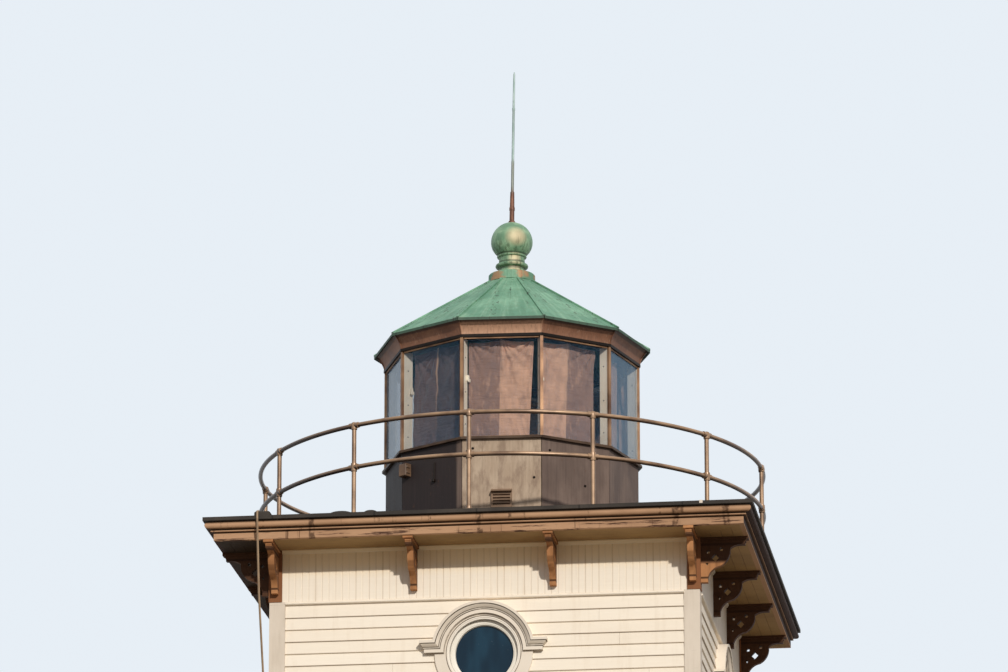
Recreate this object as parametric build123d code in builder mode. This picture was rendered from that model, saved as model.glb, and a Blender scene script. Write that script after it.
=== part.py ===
from build123d import *
from math import asin, cos, degrees, radians, sin, tan
import os

os.makedirs("parts", exist_ok=True)

# A square timber lighthouse with a bracketed gallery and a ten-sided lantern.
# Lengths are millimetres. The ground is z = 0, the tower's axis is the z axis and the door faces -Y.

# Shaft
TOWER_SIDE = 3800  # over the corner boards
ROOF_EDGE_HEIGHT = 14000  # top of the gallery roof's edge
WALL_THICK = 175
CORNER_BOARD_WIDTH = 140
CORNER_BOARD_THICK = 25
CORNER_BLOCK_WIDTH = 110
CORNER_BLOCK_THICK = 32
FOUNDATION_HEIGHT = 400
FOUNDATION_LEDGE = 40
FOUNDATION_BEVEL = 30
GROUND_FLOOR_THICK = 50
UPPER_FLOOR_THICK = 60
HATCH_SIDE = 800
HATCH_FROM_WALL = 300
WATCH_ROOM_HEIGHT = 2750  # watch room floor up to the roof edge
STOREYS_BELOW_WATCH_ROOM = 3
FIT_GAP = 0.3

# Door, its frame and its steps
DOOR_WIDTH = 900
DOOR_HEIGHT = 2100
DOOR_THICK = 45
DOOR_INSET = 70  # leaf's face behind the wall's face
DOOR_PLAY = 3
DOOR_PANEL_DEPTH = 10
DOOR_RAIL_WIDTH = 110
DOOR_LINING = 50
DOOR_CASING_WIDTH = 120
DOOR_CASING_THICK = 30
DOOR_CAP_HEIGHT = 60
DOOR_CAP_REACH = 90
STEP_WIDTH = 1300
STEP_TREAD = 280

# Round windows
ROUND_SIDES = 24  # flats that a window's round is cut with
OCULUS_ABOVE_FLOOR = 1580  # centre above its floor
OCULUS_HOLE_SIDE = 600  # square hole in the wall, hidden by the casing
OCULUS_GLASS_RADIUS = 254
OCULUS_CASING_INNER_RADIUS = 298
OCULUS_CASING_RADIUS = 434
OCULUS_CASING_THICK = 34
OCULUS_SASH_DEPTH = 34
OCULUS_SASH_INSET = 12
OCULUS_GLASS_THICK = 8
HOOD_INNER_RADIUS = 345
HOOD_WIDTH = 110
HOOD_FASCIA_REACH = 58
HOOD_CAP_REACH = 98
HOOD_CAP_RISE = 62
HOOD_EAR_LENGTH = 520  # from the window's axis to the end of the ear's fascia

# Eaves
GALLERY_SIDE = 4828  # over the roof edge
ROOF_EDGE_THICK = 32
ROOF_RISE = 110
ROOF_FLAT_SIDE = 2500
SOFFIT_BELOW_EDGE = 195
SOFFIT_THICK = 20
FRIEZE_BELOW_EDGE = 660
FRIEZE_THICK = 18
DRIP_HEIGHT = 26
DRIP_REACH = 34
BED_MOULD_HEIGHT = 32
BED_MOULD_REACH = 24
CROWN_HEIGHT = 96
CROWN_REACH = 72
BEAD_HEIGHT = 20
BEAD_REACH = 14
FASCIA_THICK = 40
MITRE_GAP = 1

# Brackets
BRACKET_THICK = 56
BRACKET_SIDE_COUNT = 4
BRACKET_SETBACK = 15  # behind the fascia's face
BRACKET_DROP = 400
BRACKET_CAP_WIDTH = 88
BRACKET_CAP_THICK = 22
BRACKET_BLOCK_DROP = 70
BRACKET_FOOT_REACH = 62
BRACKET_FOOT_HEIGHT = 45
BRACKET_HOLE_SIDES = 6
BRACKET_HOLE_RADIUS = 17
BRACKET_FOIL_RADIUS = 18

# Railing
RAILING_FROM_EDGE = 126
PIPE_SIDES = 8
PIPE_RADIUS = 20
TOP_RAIL_HEIGHT = 904
MID_RAIL_HEIGHT = 522
RAIL_LENGTHS = 24  # straight lengths in each ring
FITTING_RADIUS = 27
FITTING_HEIGHT = 56
FLANGE_RADIUS = 46
FLANGE_THICK = 14
FRONT_POST_ANGLES = (-92, -58, -30, -2, 25.5, 56.5)  # from the front towards the right

# Lantern
LANTERN_SIDES = 10
LANTERN_TURN = 2.7  # from the front towards the right
LANTERN_RADIUS = 1170  # to the corners of the glazing
LANTERN_WALL_SETBACK = 15
LANTERN_WALL_THICK = 60
LANTERN_WALL_GAP = 3
SILL_HEIGHT = 1003
SILL_THICK = 22
SILL_REACH = 20
SILL_DEPTH = 170
GLASS_HEIGHT = 932
GLASS_THICK = 8
GLASS_INSET = 16
ASTRAGAL_WIDTH = 28
ASTRAGAL_DEPTH = 22
MULLION_WIDTH = 22
MULLION_DEPTH = 90
HEAD_THICK = 25
COVE_THICK = 14
EAVE_OVERHANG = 100
COVE_HEIGHT = 133
LANTERN_ROOF_THICK = 25
LANTERN_ROOF_RISE = 667
HIP_WIDTH = 24
HIP_HEIGHT = 14
HIP_GAP = 4
CURTAIN_WIDTH = 610
CURTAIN_THICK = 12
CURTAIN_INSET = 120
CURTAIN_SILL_GAP = 25

# Finial and lightning rod
FINIAL_SIDES = 20
FLANGE_BASE_RADIUS = 217
FLANGE_BASE_HEIGHT = 80
NECK_RADIUS = 120
NECK_HEIGHT = 190
BALL_RADIUS = 192
BALL_LOWER_HEIGHT = 170
BALL_LEVELS = 6
ROD_LENGTH = 1470
ROD_SOCKET_LENGTH = 300
ROD_SOCKET_RADIUS = 23
ROD_FOOT_RADIUS = 32
ROD_RADIUS = 14
ROD_TIP_RADIUS = 5
ROD_LEAN = 0.9

# Small fittings
VENT_WIDTH = 185
VENT_HEIGHT = 175
VENT_REACH = 30
VENT_SLATS = 4
VENT_HOOD_REACH = 66
VENT_HOOD_HEIGHT = 34
VENT_ABOVE_EDGE = 345
BOX_WIDTH = 90
BOX_HEIGHT = 115
BOX_REACH = 60
BOX_ABOVE_EDGE = 805
BOX_FROM_MIDDLE = 297  # towards the facet's left-hand corner
CABLE_SIDES = 6
CABLE_RADIUS = 10
CABLE_CLEARANCE = 36  # cable's axis off the corner board
CABLE_FROM_AXIS = 1925  # where it crosses the roof edge, to the left of the tower's axis
CABLE_OFF_EDGE = 21
CABLE_DOWN_LINE = 1870  # how far its upright run stands to the front of the tower's axis
CABLE_FOOT_HEIGHT = 420
CLIP_COUNT = 4
CLIP_WIDTH = 24
POCKET_LENGTH = 140
POCKET_WIDTH = 90
POCKET_HEIGHT = 40
POCKET_ASIDE = 40  # its middle to the right of the cable

# Places worked out from the sizes above
half_tower = TOWER_SIDE / 2
wall_face = half_tower - CORNER_BOARD_THICK
room_half = wall_face - WALL_THICK
wall_base = FOUNDATION_HEIGHT
deck_bottom = ROOF_EDGE_HEIGHT - ROOF_EDGE_THICK
soffit_bottom = ROOF_EDGE_HEIGHT - SOFFIT_BELOW_EDGE
block_bottom = ROOF_EDGE_HEIGHT - FRIEZE_BELOW_EDGE
frieze_face = wall_face + FRIEZE_THICK
half_gallery = GALLERY_SIDE / 2
fascia_face = half_gallery - BEAD_REACH - CROWN_REACH
fascia_back = fascia_face - FASCIA_THICK
ground_floor_top = FOUNDATION_HEIGHT + GROUND_FLOOR_THICK
watch_floor_top = ROOF_EDGE_HEIGHT - WATCH_ROOM_HEIGHT
storey_height = (watch_floor_top - ground_floor_top) / STOREYS_BELOW_WATCH_ROOM
floor_tops = [ground_floor_top + storey_height * n for n in range(1, STOREYS_BELOW_WATCH_ROOM + 1)]
bracket_reach = fascia_face - BRACKET_SETBACK - frieze_face
bracket_place = half_tower - CORNER_BLOCK_WIDTH / 2
railing_radius = half_gallery - RAILING_FROM_EDGE
lantern_base = ROOF_EDGE_HEIGHT + ROOF_RISE
sill_top = ROOF_EDGE_HEIGHT + SILL_HEIGHT
glass_top = sill_top + GLASS_HEIGHT
head_top = glass_top + HEAD_THICK
eave_radius = LANTERN_RADIUS + EAVE_OVERHANG
eave_top = head_top + COVE_HEIGHT
roof_peak = eave_top + LANTERN_ROOF_RISE
finial_neck_top = roof_peak + FLANGE_BASE_HEIGHT + NECK_HEIGHT
half_facet = 180 / LANTERN_SIDES
first_facet = LANTERN_TURN + half_facet

# The sides that each storey's round windows look to, as quarter turns from the right-hand side
RIGHT, BACK, LEFT, FRONT = 0, 1, 2, 3
window_sides = [(FRONT,), (FRONT,), (RIGHT, BACK, LEFT, FRONT)]
windows = [
    (side, floor + OCULUS_ABOVE_FLOOR)
    for floor, sides in zip(floor_tops, window_sides)
    for side in sides
]


def section(*points):
    """A closed outline in the plane that holds the tower's axis and points right."""
    with BuildSketch(Plane.XZ) as outline:
        with BuildLine():
            Polyline(*points, close=True)
        make_face()
    return outline.sketch


def mitre(half_angle, gap):
    """Cut the part in hand to the wedge that spreads half_angle to each side of +X, less a gap."""
    for side in (1, -1):
        normal = Vector(-sin(radians(half_angle)), side * cos(radians(half_angle)), 0)
        split(bisect_by=Plane(origin=normal * -gap, z_dir=normal), keep=Keep.BOTTOM)


def mitred_length(profile, reach, half_angle, gap):
    """A length of one section along a side of the tower, its ends cut to meet its neighbours."""
    with BuildPart() as length:
        extrude(profile, amount=reach, both=True)
        mitre(half_angle, gap)
    return length.part


def facet_slab(radius, thick, bottom, top, gap, setback=0):
    """An upright slab on one side of the lantern, its outer corners at a radius."""
    outer = radius * cos(radians(half_facet)) - setback
    profile = section((outer - thick, bottom), (outer, bottom), (outer, top), (outer - thick, top))
    return mitred_length(profile, outer, half_facet, gap)


def wall_slab(half_length, side, openings):
    """A wall from the foundation to the roof, with its round windows cut through."""
    with BuildPart() as wall:
        with BuildSketch(Plane.XY.offset(wall_base)):
            with Locations((wall_face - WALL_THICK / 2, 0)):
                Rectangle(WALL_THICK, 2 * half_length)
        extrude(amount=deck_bottom - wall_base)
        for window_side, height in windows:
            if window_side == side:
                with BuildSketch(Plane.YZ.offset(room_half)):
                    with Locations((0, height)):
                        Rectangle(OCULUS_HOLE_SIDE, OCULUS_HOLE_SIDE)
                extrude(amount=WALL_THICK, mode=Mode.SUBTRACT)
        if openings:
            add(openings, mode=Mode.SUBTRACT)
    return wall.part


# Foundation: a block of masonry with a bevelled top, and the stone steps before the door
with BuildPart() as foundation:
    with BuildSketch():
        Rectangle(TOWER_SIDE + 2 * FOUNDATION_LEDGE, TOWER_SIDE + 2 * FOUNDATION_LEDGE)
    extrude(amount=FOUNDATION_HEIGHT)
    chamfer(foundation.faces().sort_by(Axis.Z)[-1].edges(), FOUNDATION_BEVEL)
foundation.part.label = "foundation"
export_step(foundation.part, "parts/foundation.step")

step_back = half_tower + FOUNDATION_LEDGE
step_rise = ground_floor_top / 3
with BuildPart() as door_step:
    with BuildSketch(Plane.YZ) as flight:
        with BuildLine():
            Polyline(
                (-step_back, 0),
                (-step_back - 2 * STEP_TREAD, 0),
                (-step_back - 2 * STEP_TREAD, step_rise),
                (-step_back - STEP_TREAD, step_rise),
                (-step_back - STEP_TREAD, 2 * step_rise),
                (-step_back, 2 * step_rise),
                close=True,
            )
        make_face()
    extrude(amount=STEP_WIDTH / 2, both=True)
door_step.part.label = "door_step"
export_step(door_step.part, "parts/door_step.step")

# Floors: boards between the walls, with a hatch in each upper one
with BuildPart() as ground_floor:
    with BuildSketch(Plane.XY.offset(FOUNDATION_HEIGHT)):
        Rectangle(2 * room_half, 2 * room_half)
    extrude(amount=GROUND_FLOOR_THICK)
ground_floor.part.label = "ground_floor"
export_step(ground_floor.part, "parts/ground_floor.step")

hatch_centre = room_half - HATCH_FROM_WALL - HATCH_SIDE / 2
with BuildPart() as upper_floors:
    for floor_top in floor_tops:
        with BuildSketch(Plane.XY.offset(floor_top - UPPER_FLOOR_THICK)):
            Rectangle(2 * room_half, 2 * room_half)
            with Locations((-hatch_centre, hatch_centre)):
                Rectangle(HATCH_SIDE, HATCH_SIDE, mode=Mode.SUBTRACT)
        extrude(amount=UPPER_FLOOR_THICK)
upper_floors.part.label = "upper_floors"
export_step(upper_floors.part, "parts/upper_floors.step")

# Walls: the front and back ones run through, the side ones stand between them
doorway_width = DOOR_WIDTH + 2 * DOOR_LINING
doorway_top = ground_floor_top + DOOR_HEIGHT + DOOR_LINING
with BuildPart() as doorway:
    with BuildSketch(Plane.YZ.offset(room_half)):
        with Locations((0, (wall_base + doorway_top) / 2)):
            Rectangle(doorway_width, doorway_top - wall_base)
    extrude(amount=WALL_THICK)

for wall_name, side, half_length, openings in (
    ("front_wall", FRONT, wall_face, doorway.part),
    ("back_wall", BACK, wall_face, None),
    ("right_wall", RIGHT, room_half, None),
    ("left_wall", LEFT, room_half, None),
):
    with BuildPart() as wall:
        with PolarLocations(0, 1, start_angle=90 * side):
            add(wall_slab(half_length, side, openings))
    wall.part.label = wall_name
    export_step(wall.part, f"parts/{wall_name}.step")

# Corner boards and the brown blocks over them: L-shaped in plan, one at each corner
def corner_angle(width, thick, bottom, top):
    outer = wall_face + thick
    inner = half_tower - width
    with BuildPart() as angle:
        with BuildSketch(Plane.XY.offset(bottom)):
            with BuildLine():
                Polyline(
                    (inner, wall_face),
                    (wall_face, wall_face),
                    (wall_face, inner),
                    (outer, inner),
                    (outer, outer),
                    (inner, outer),
                    close=True,
                )
            make_face()
        extrude(amount=top - bottom)
    return angle.part


with BuildPart() as corner_boards:
    with PolarLocations(0, 4):
        add(corner_angle(CORNER_BOARD_WIDTH, CORNER_BOARD_THICK, wall_base, block_bottom))
corner_boards.part.label = "corner_boards"
export_step(corner_boards.part, "parts/corner_boards.step")

with BuildPart() as corner_blocks:
    with PolarLocations(0, 4):
        add(corner_angle(CORNER_BLOCK_WIDTH, CORNER_BLOCK_THICK, block_bottom, soffit_bottom))
corner_blocks.part.label = "corner_blocks"
export_step(corner_blocks.part, "parts/corner_blocks.step")

# Frieze boards between the corner blocks, and the drip mould that they stand on
with BuildPart() as frieze_board:
    extrude(
        section(
            (wall_face, block_bottom),
            (frieze_face, block_bottom),
            (frieze_face, soffit_bottom),
            (wall_face, soffit_bottom),
        ),
        amount=half_tower - CORNER_BLOCK_WIDTH,
        both=True,
    )
with BuildPart() as frieze_boards:
    with PolarLocations(0, 4):
        add(frieze_board.part)
frieze_boards.part.label = "frieze_boards"
export_step(frieze_boards.part, "parts/frieze_boards.step")

drip_face = wall_face + DRIP_REACH
with BuildPart() as drip_length:
    extrude(
        section(
            (wall_face, block_bottom - DRIP_HEIGHT),
            (drip_face - DRIP_HEIGHT / 4, block_bottom - DRIP_HEIGHT),
            (drip_face, block_bottom - DRIP_HEIGHT * 3 / 4),
            (drip_face, block_bottom - DRIP_HEIGHT / 2),
            (frieze_face, block_bottom),
            (wall_face, block_bottom),
        ),
        amount=half_tower - CORNER_BOARD_WIDTH,
        both=True,
    )
with BuildPart() as drip_mould:
    with PolarLocations(0, 4):
        add(drip_length.part)
drip_mould.part.label = "drip_mould"
export_step(drip_mould.part, "parts/drip_mould.step")

# Bed mould: a bevelled strip under the soffit, in lengths between the corner blocks and the brackets
bracket_gap = 2 * bracket_place / (BRACKET_SIDE_COUNT - 1)
bracket_places = [bracket_gap * n - bracket_place for n in range(BRACKET_SIDE_COUNT)]
with BuildPart() as bed_length:
    extrude(
        section(
            (frieze_face, soffit_bottom - BED_MOULD_HEIGHT),
            (frieze_face + BED_MOULD_REACH / 4, soffit_bottom - BED_MOULD_HEIGHT),
            (frieze_face + BED_MOULD_REACH, soffit_bottom - BED_MOULD_HEIGHT / 4),
            (frieze_face + BED_MOULD_REACH, soffit_bottom),
            (frieze_face, soffit_bottom),
        ),
        amount=half_tower - CORNER_BLOCK_WIDTH,
        both=True,
    )
    with BuildSketch(Plane.XY.offset(soffit_bottom - BED_MOULD_HEIGHT)):
        with Locations(*[(frieze_face, place) for place in bracket_places]):
            Rectangle(2 * bracket_reach, BRACKET_CAP_WIDTH)
    extrude(amount=BED_MOULD_HEIGHT, mode=Mode.SUBTRACT)
with BuildPart() as bed_mould:
    with PolarLocations(0, 4):
        add(bed_length.part)
bed_mould.part.label = "bed_mould"
export_step(bed_mould.part, "parts/bed_mould.step")

# Soffit boards, mitred at the corners
soffit_profile = section(
    (wall_face, soffit_bottom),
    (fascia_back, soffit_bottom),
    (fascia_back, soffit_bottom + SOFFIT_THICK),
    (wall_face, soffit_bottom + SOFFIT_THICK),
)
with BuildPart() as soffit:
    with PolarLocations(0, 4):
        add(mitred_length(soffit_profile, half_gallery, 45, MITRE_GAP))
soffit.part.label = "soffit"
export_step(soffit.part, "parts/soffit.step")

# Cornice: a fascia board, a bead and a coved crown under the roof edge
bead_face = fascia_face + BEAD_REACH
crown_face = bead_face + CROWN_REACH
crown_bottom = deck_bottom - CROWN_HEIGHT
crown_top = deck_bottom - CROWN_HEIGHT / 5
crown_lip = crown_face - CROWN_REACH / 5
with BuildSketch(Plane.XZ) as cornice_profile:
    with BuildLine():
        Polyline(
            (crown_lip, crown_top),
            (crown_lip, deck_bottom),
            (fascia_back, deck_bottom),
            (fascia_back, soffit_bottom),
            (fascia_face, soffit_bottom),
            (fascia_face, crown_bottom - BEAD_HEIGHT),
            (bead_face, crown_bottom - BEAD_HEIGHT),
            (bead_face, crown_bottom),
        )
        SagittaArc((bead_face, crown_bottom), (crown_lip, crown_top), CROWN_REACH / 6)
    make_face()
with BuildPart() as cornice:
    with PolarLocations(0, 4):
        add(mitred_length(cornice_profile.sketch, half_gallery, 45, MITRE_GAP))
cornice.part.label = "cornice"
export_step(cornice.part, "parts/cornice.step")

# Gallery deck: a low hipped roof that is walked on, with the lantern's hatch and, at the front
# edge, the lump of roofing that the lightning conductor leaves through
roof_run = half_gallery - ROOF_FLAT_SIDE / 2
with BuildPart() as gallery_deck:
    with BuildSketch(Plane.XY.offset(deck_bottom)):
        Rectangle(GALLERY_SIDE, GALLERY_SIDE)
    extrude(amount=ROOF_EDGE_THICK + ROOF_RISE)
    for x, y in ((1, 0), (0, 1), (-1, 0), (0, -1)):
        roof_edge = (x * half_gallery, y * half_gallery, ROOF_EDGE_HEIGHT)
        slope = Plane(origin=roof_edge, z_dir=(x * ROOF_RISE, y * ROOF_RISE, roof_run))
        split(bisect_by=slope, keep=Keep.BOTTOM)
    with BuildSketch(Plane.XY.offset(deck_bottom)):
        Rectangle(HATCH_SIDE, HATCH_SIDE)
    extrude(amount=ROOF_EDGE_THICK + ROOF_RISE, mode=Mode.SUBTRACT)
    with BuildSketch(Plane.XY.offset(deck_bottom)):
        with Locations((POCKET_ASIDE - CABLE_FROM_AXIS, POCKET_WIDTH / 2 - half_gallery)):
            Rectangle(POCKET_LENGTH, POCKET_WIDTH)
    extrude(amount=ROOF_EDGE_THICK + POCKET_HEIGHT)
    pocket_top = gallery_deck.faces().filter_by(Plane.XY).filter_by_position(
        Axis.Z, ROOF_EDGE_HEIGHT + POCKET_HEIGHT - 1, ROOF_EDGE_HEIGHT + POCKET_HEIGHT + 1
    )
    chamfer(pocket_top.edges(), POCKET_HEIGHT / 3)
gallery_deck.part.label = "gallery_deck"
export_step(gallery_deck.part, "parts/gallery_deck.step")


# Brackets: sawn from plank, pierced, with a wider cap board on the arm
def sawn_bracket():
    belly_reach = bracket_reach * 0.58
    with BuildPart() as bracket:
        with BuildSketch(Plane.XZ) as outline:
            with BuildLine():
                Polyline(
                    (0, -BRACKET_DROP),
                    (0, -BRACKET_CAP_THICK),
                    (bracket_reach - BRACKET_CAP_THICK, -BRACKET_CAP_THICK),
                    (bracket_reach - BRACKET_CAP_THICK, -BRACKET_BLOCK_DROP * 0.62),
                    (bracket_reach - BRACKET_CAP_THICK - 8, -BRACKET_BLOCK_DROP * 0.62),
                    (bracket_reach - BRACKET_CAP_THICK - 8, -BRACKET_BLOCK_DROP),
                    (bracket_reach - BRACKET_BLOCK_DROP, -BRACKET_BLOCK_DROP),
                )
                SagittaArc(
                    (bracket_reach - BRACKET_BLOCK_DROP, -BRACKET_BLOCK_DROP),
                    (belly_reach + 14, -BRACKET_BLOCK_DROP - 30),
                    -9,
                )
                SagittaArc(
                    (belly_reach + 14, -BRACKET_BLOCK_DROP - 30),
                    (belly_reach * 0.7, -BRACKET_DROP * 0.64),
                    28,
                )
                SagittaArc(
                    (belly_reach * 0.7, -BRACKET_DROP * 0.64),
                    (BRACKET_FOOT_REACH, -BRACKET_DROP + BRACKET_FOOT_HEIGHT),
                    -22,
                )
                Polyline(
                    (BRACKET_FOOT_REACH, -BRACKET_DROP + BRACKET_FOOT_HEIGHT),
                    (BRACKET_FOOT_REACH, -BRACKET_DROP),
                    (0, -BRACKET_DROP),
                )
            make_face()
            with Locations((bracket_reach * 0.157, -128), (bracket_reach * 0.433, -108)):
                RegularPolygon(BRACKET_HOLE_RADIUS, BRACKET_HOLE_SIDES, mode=Mode.SUBTRACT)
            with Locations((bracket_reach * 0.305, -182)):
                with PolarLocations(BRACKET_FOIL_RADIUS, 4):
                    RegularPolygon(BRACKET_FOIL_RADIUS, 4, mode=Mode.SUBTRACT)
            with Locations((bracket_reach * 0.133, -236)):
                RegularPolygon(BRACKET_HOLE_RADIUS, 3, rotation=-90, mode=Mode.SUBTRACT)
        extrude(amount=BRACKET_THICK / 2, both=True)
        with BuildSketch(Plane.XY) as cap:
            with Locations((bracket_reach / 2, 0)):
                Rectangle(bracket_reach, BRACKET_CAP_WIDTH)
        extrude(amount=-BRACKET_CAP_THICK)
    return bracket.part


one_bracket = sawn_bracket()
for side_name, side in (("front", FRONT), ("right", RIGHT), ("back", BACK), ("left", LEFT)):
    with BuildPart() as brackets:
        with PolarLocations(0, 1, start_angle=90 * side):
            for place in bracket_places:
                at_corner = abs(place) > half_tower - CORNER_BLOCK_WIDTH
                back = wall_face + CORNER_BLOCK_THICK if at_corner else frieze_face
                with Locations((back, place, soffit_bottom)):
                    add(one_bracket)
    brackets.part.label = f"{side_name}_brackets"
    export_step(brackets.part, f"parts/{side_name}_brackets.step")


# Round windows: the casing, a square sash with a round light, the pane that is bedded behind it
# and the hood mould with its level ears
def window_ring(outer, inner, back, thick):
    with BuildPart() as ring:
        with BuildSketch(Plane.YZ.offset(back)):
            RegularPolygon(outer, ROUND_SIDES)
            if inner:
                RegularPolygon(inner, ROUND_SIDES, mode=Mode.SUBTRACT)
        extrude(amount=thick)
    return ring.part


def window_panel(side, hole_radius, back, thick):
    with BuildPart() as panel:
        with BuildSketch(Plane.YZ.offset(back)):
            Rectangle(side, side)
            if hole_radius:
                RegularPolygon(hole_radius, ROUND_SIDES, mode=Mode.SUBTRACT)
        extrude(amount=thick)
    return panel.part


def hood_layer(rise, reach):
    """One step of the hood mould: a half ring and two ears, standing out by its reach."""
    inner = HOOD_INNER_RADIUS + rise
    outer = HOOD_INNER_RADIUS + HOOD_WIDTH
    ear = HOOD_EAR_LENGTH + reach - HOOD_FASCIA_REACH
    with BuildPart() as layer:
        with BuildSketch(Plane.YZ.offset(wall_face)):
            RegularPolygon(outer, ROUND_SIDES)
            with Locations((0, -outer)):
                Rectangle(2 * outer, 2 * outer, mode=Mode.SUBTRACT)
            with Locations((0, (rise + HOOD_WIDTH) / 2)):
                Rectangle(2 * ear, HOOD_WIDTH - rise)
            RegularPolygon(inner, ROUND_SIDES, mode=Mode.SUBTRACT)
        extrude(amount=reach)
    return layer.part


sash_back = wall_face - OCULUS_SASH_INSET - OCULUS_SASH_DEPTH
glass_back = sash_back - OCULUS_GLASS_THICK
with BuildPart() as hood:
    add(hood_layer(0, HOOD_FASCIA_REACH))
    add(hood_layer(HOOD_CAP_RISE, HOOD_CAP_REACH))
    casing_outline = window_ring(OCULUS_CASING_RADIUS, 0, wall_face, OCULUS_CASING_THICK)
    add(casing_outline, mode=Mode.SUBTRACT)
window_pieces = {
    "oculus_casings": window_ring(
        OCULUS_CASING_RADIUS, OCULUS_CASING_INNER_RADIUS, wall_face, OCULUS_CASING_THICK
    ),
    "oculus_hoods": hood.part,
    "oculus_sashes": window_panel(
        OCULUS_HOLE_SIDE, OCULUS_GLASS_RADIUS, sash_back, OCULUS_SASH_DEPTH
    ),
    "oculus_glass": window_panel(
        OCULUS_HOLE_SIDE - 2 * OCULUS_SASH_INSET, 0, glass_back, OCULUS_GLASS_THICK
    ),
}
for piece_name, piece in window_pieces.items():
    with BuildPart() as window_set:
        for side, height in windows:
            with PolarLocations(0, 1, start_angle=90 * side):
                with Locations((0, 0, height)):
                    add(piece)
    window_set.part.label = piece_name
    export_step(window_set.part, f"parts/{piece_name}.step")

# Door frame: a lining with a threshold, casing boards on the face and a cap board over them
with BuildPart() as door_frame:
    with BuildSketch(Plane.XZ.offset(room_half)):
        with Locations((0, (wall_base + doorway_top) / 2)):
            Rectangle(doorway_width, doorway_top - wall_base)
        with Locations((0, ground_floor_top + DOOR_HEIGHT / 2)):
            Rectangle(DOOR_WIDTH, DOOR_HEIGHT, mode=Mode.SUBTRACT)
    extrude(amount=WALL_THICK)
    with BuildSketch(Plane.XZ.offset(wall_face)):
        with Locations((0, (wall_base + doorway_top + DOOR_CASING_WIDTH) / 2)):
            Rectangle(
                doorway_width + 2 * DOOR_CASING_WIDTH,
                doorway_top + DOOR_CASING_WIDTH - wall_base,
            )
        with Locations((0, (wall_base + ground_floor_top + DOOR_HEIGHT) / 2)):
            Rectangle(
                DOOR_WIDTH,
                ground_floor_top + DOOR_HEIGHT - wall_base,
                mode=Mode.SUBTRACT,
            )
    extrude(amount=DOOR_CASING_THICK)
    with BuildSketch(Plane.XZ.offset(wall_face)):
        with Locations((0, doorway_top + DOOR_CASING_WIDTH + DOOR_CAP_HEIGHT / 2)):
            Rectangle(doorway_width + 2 * DOOR_CASING_WIDTH + DOOR_CAP_REACH, DOOR_CAP_HEIGHT)
    extrude(amount=DOOR_CAP_REACH)
door_frame.part.label = "door_frame"
export_step(door_frame.part, "parts/door_frame.step")

# Door leaf: stiles and rails round four sunk panels on each face
leaf_face = wall_face - DOOR_INSET
leaf_width = DOOR_WIDTH - 2 * DOOR_PLAY
leaf_height = DOOR_HEIGHT - DOOR_PLAY - FIT_GAP
panel_width = (leaf_width - 3 * DOOR_RAIL_WIDTH) / 2
panel_height = (leaf_height - 3 * DOOR_RAIL_WIDTH) / 2
leaf_middle = ground_floor_top + FIT_GAP + leaf_height / 2
with BuildPart() as door_leaf:
    with BuildSketch(Plane.XZ.offset(leaf_face - DOOR_THICK)):
        with Locations((0, leaf_middle)):
            Rectangle(leaf_width, leaf_height)
    extrude(amount=DOOR_THICK)
    for panel_plane in (leaf_face - DOOR_THICK, leaf_face - DOOR_PANEL_DEPTH):
        with BuildSketch(Plane.XZ.offset(panel_plane)):
            with Locations((0, leaf_middle)):
                with GridLocations(panel_width + DOOR_RAIL_WIDTH, panel_height + DOOR_RAIL_WIDTH, 2, 2):
                    Rectangle(panel_width, panel_height)
        extrude(amount=DOOR_PANEL_DEPTH, mode=Mode.SUBTRACT)
door_leaf.part.label = "door_leaf"
export_step(door_leaf.part, "parts/door_leaf.step")

# Lantern: a parapet of ten panels, the sill, the glazing and the head
with BuildPart() as lantern_wall:
    with PolarLocations(0, LANTERN_SIDES, start_angle=first_facet):
        add(
            facet_slab(
                LANTERN_RADIUS - LANTERN_WALL_SETBACK,
                LANTERN_WALL_THICK,
                lantern_base,
                sill_top - SILL_THICK,
                LANTERN_WALL_GAP,
            )
        )
lantern_wall.part.label = "lantern_wall"
export_step(lantern_wall.part, "parts/lantern_wall.step")

with BuildPart() as lantern_sill:
    with PolarLocations(0, LANTERN_SIDES, start_angle=first_facet):
        add(
            facet_slab(
                LANTERN_RADIUS + SILL_REACH,
                SILL_DEPTH,
                sill_top - SILL_THICK,
                sill_top,
                MITRE_GAP,
            )
        )
lantern_sill.part.label = "lantern_sill"
export_step(lantern_sill.part, "parts/lantern_sill.step")

with BuildPart() as lantern_head:
    with PolarLocations(0, LANTERN_SIDES, start_angle=first_facet):
        add(
            facet_slab(
                LANTERN_RADIUS + SILL_REACH / 2,
                SILL_DEPTH,
                glass_top,
                head_top,
                MITRE_GAP,
            )
        )
lantern_head.part.label = "lantern_head"
export_step(lantern_head.part, "parts/lantern_head.step")

with BuildPart() as lantern_glass:
    with PolarLocations(0, LANTERN_SIDES, start_angle=first_facet):
        add(
            facet_slab(
                LANTERN_RADIUS,
                GLASS_THICK,
                sill_top,
                glass_top,
                ASTRAGAL_WIDTH / 2,
                setback=GLASS_INSET,
            )
        )
lantern_glass.part.label = "lantern_glass"
export_step(lantern_glass.part, "parts/lantern_glass.step")

# Glazing bars: a narrow astragal outside each corner, and a deep flat mullion behind it
mullion_outer = LANTERN_RADIUS - ASTRAGAL_DEPTH
with BuildPart() as lantern_astragals:
    with BuildSketch(Plane.XY.offset(sill_top)):
        with PolarLocations(
            LANTERN_RADIUS - ASTRAGAL_DEPTH / 2, LANTERN_SIDES, start_angle=LANTERN_TURN
        ):
            Rectangle(ASTRAGAL_DEPTH, ASTRAGAL_WIDTH)
    extrude(amount=GLASS_HEIGHT)
lantern_astragals.part.label = "lantern_astragals"
export_step(lantern_astragals.part, "parts/lantern_astragals.step")

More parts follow.
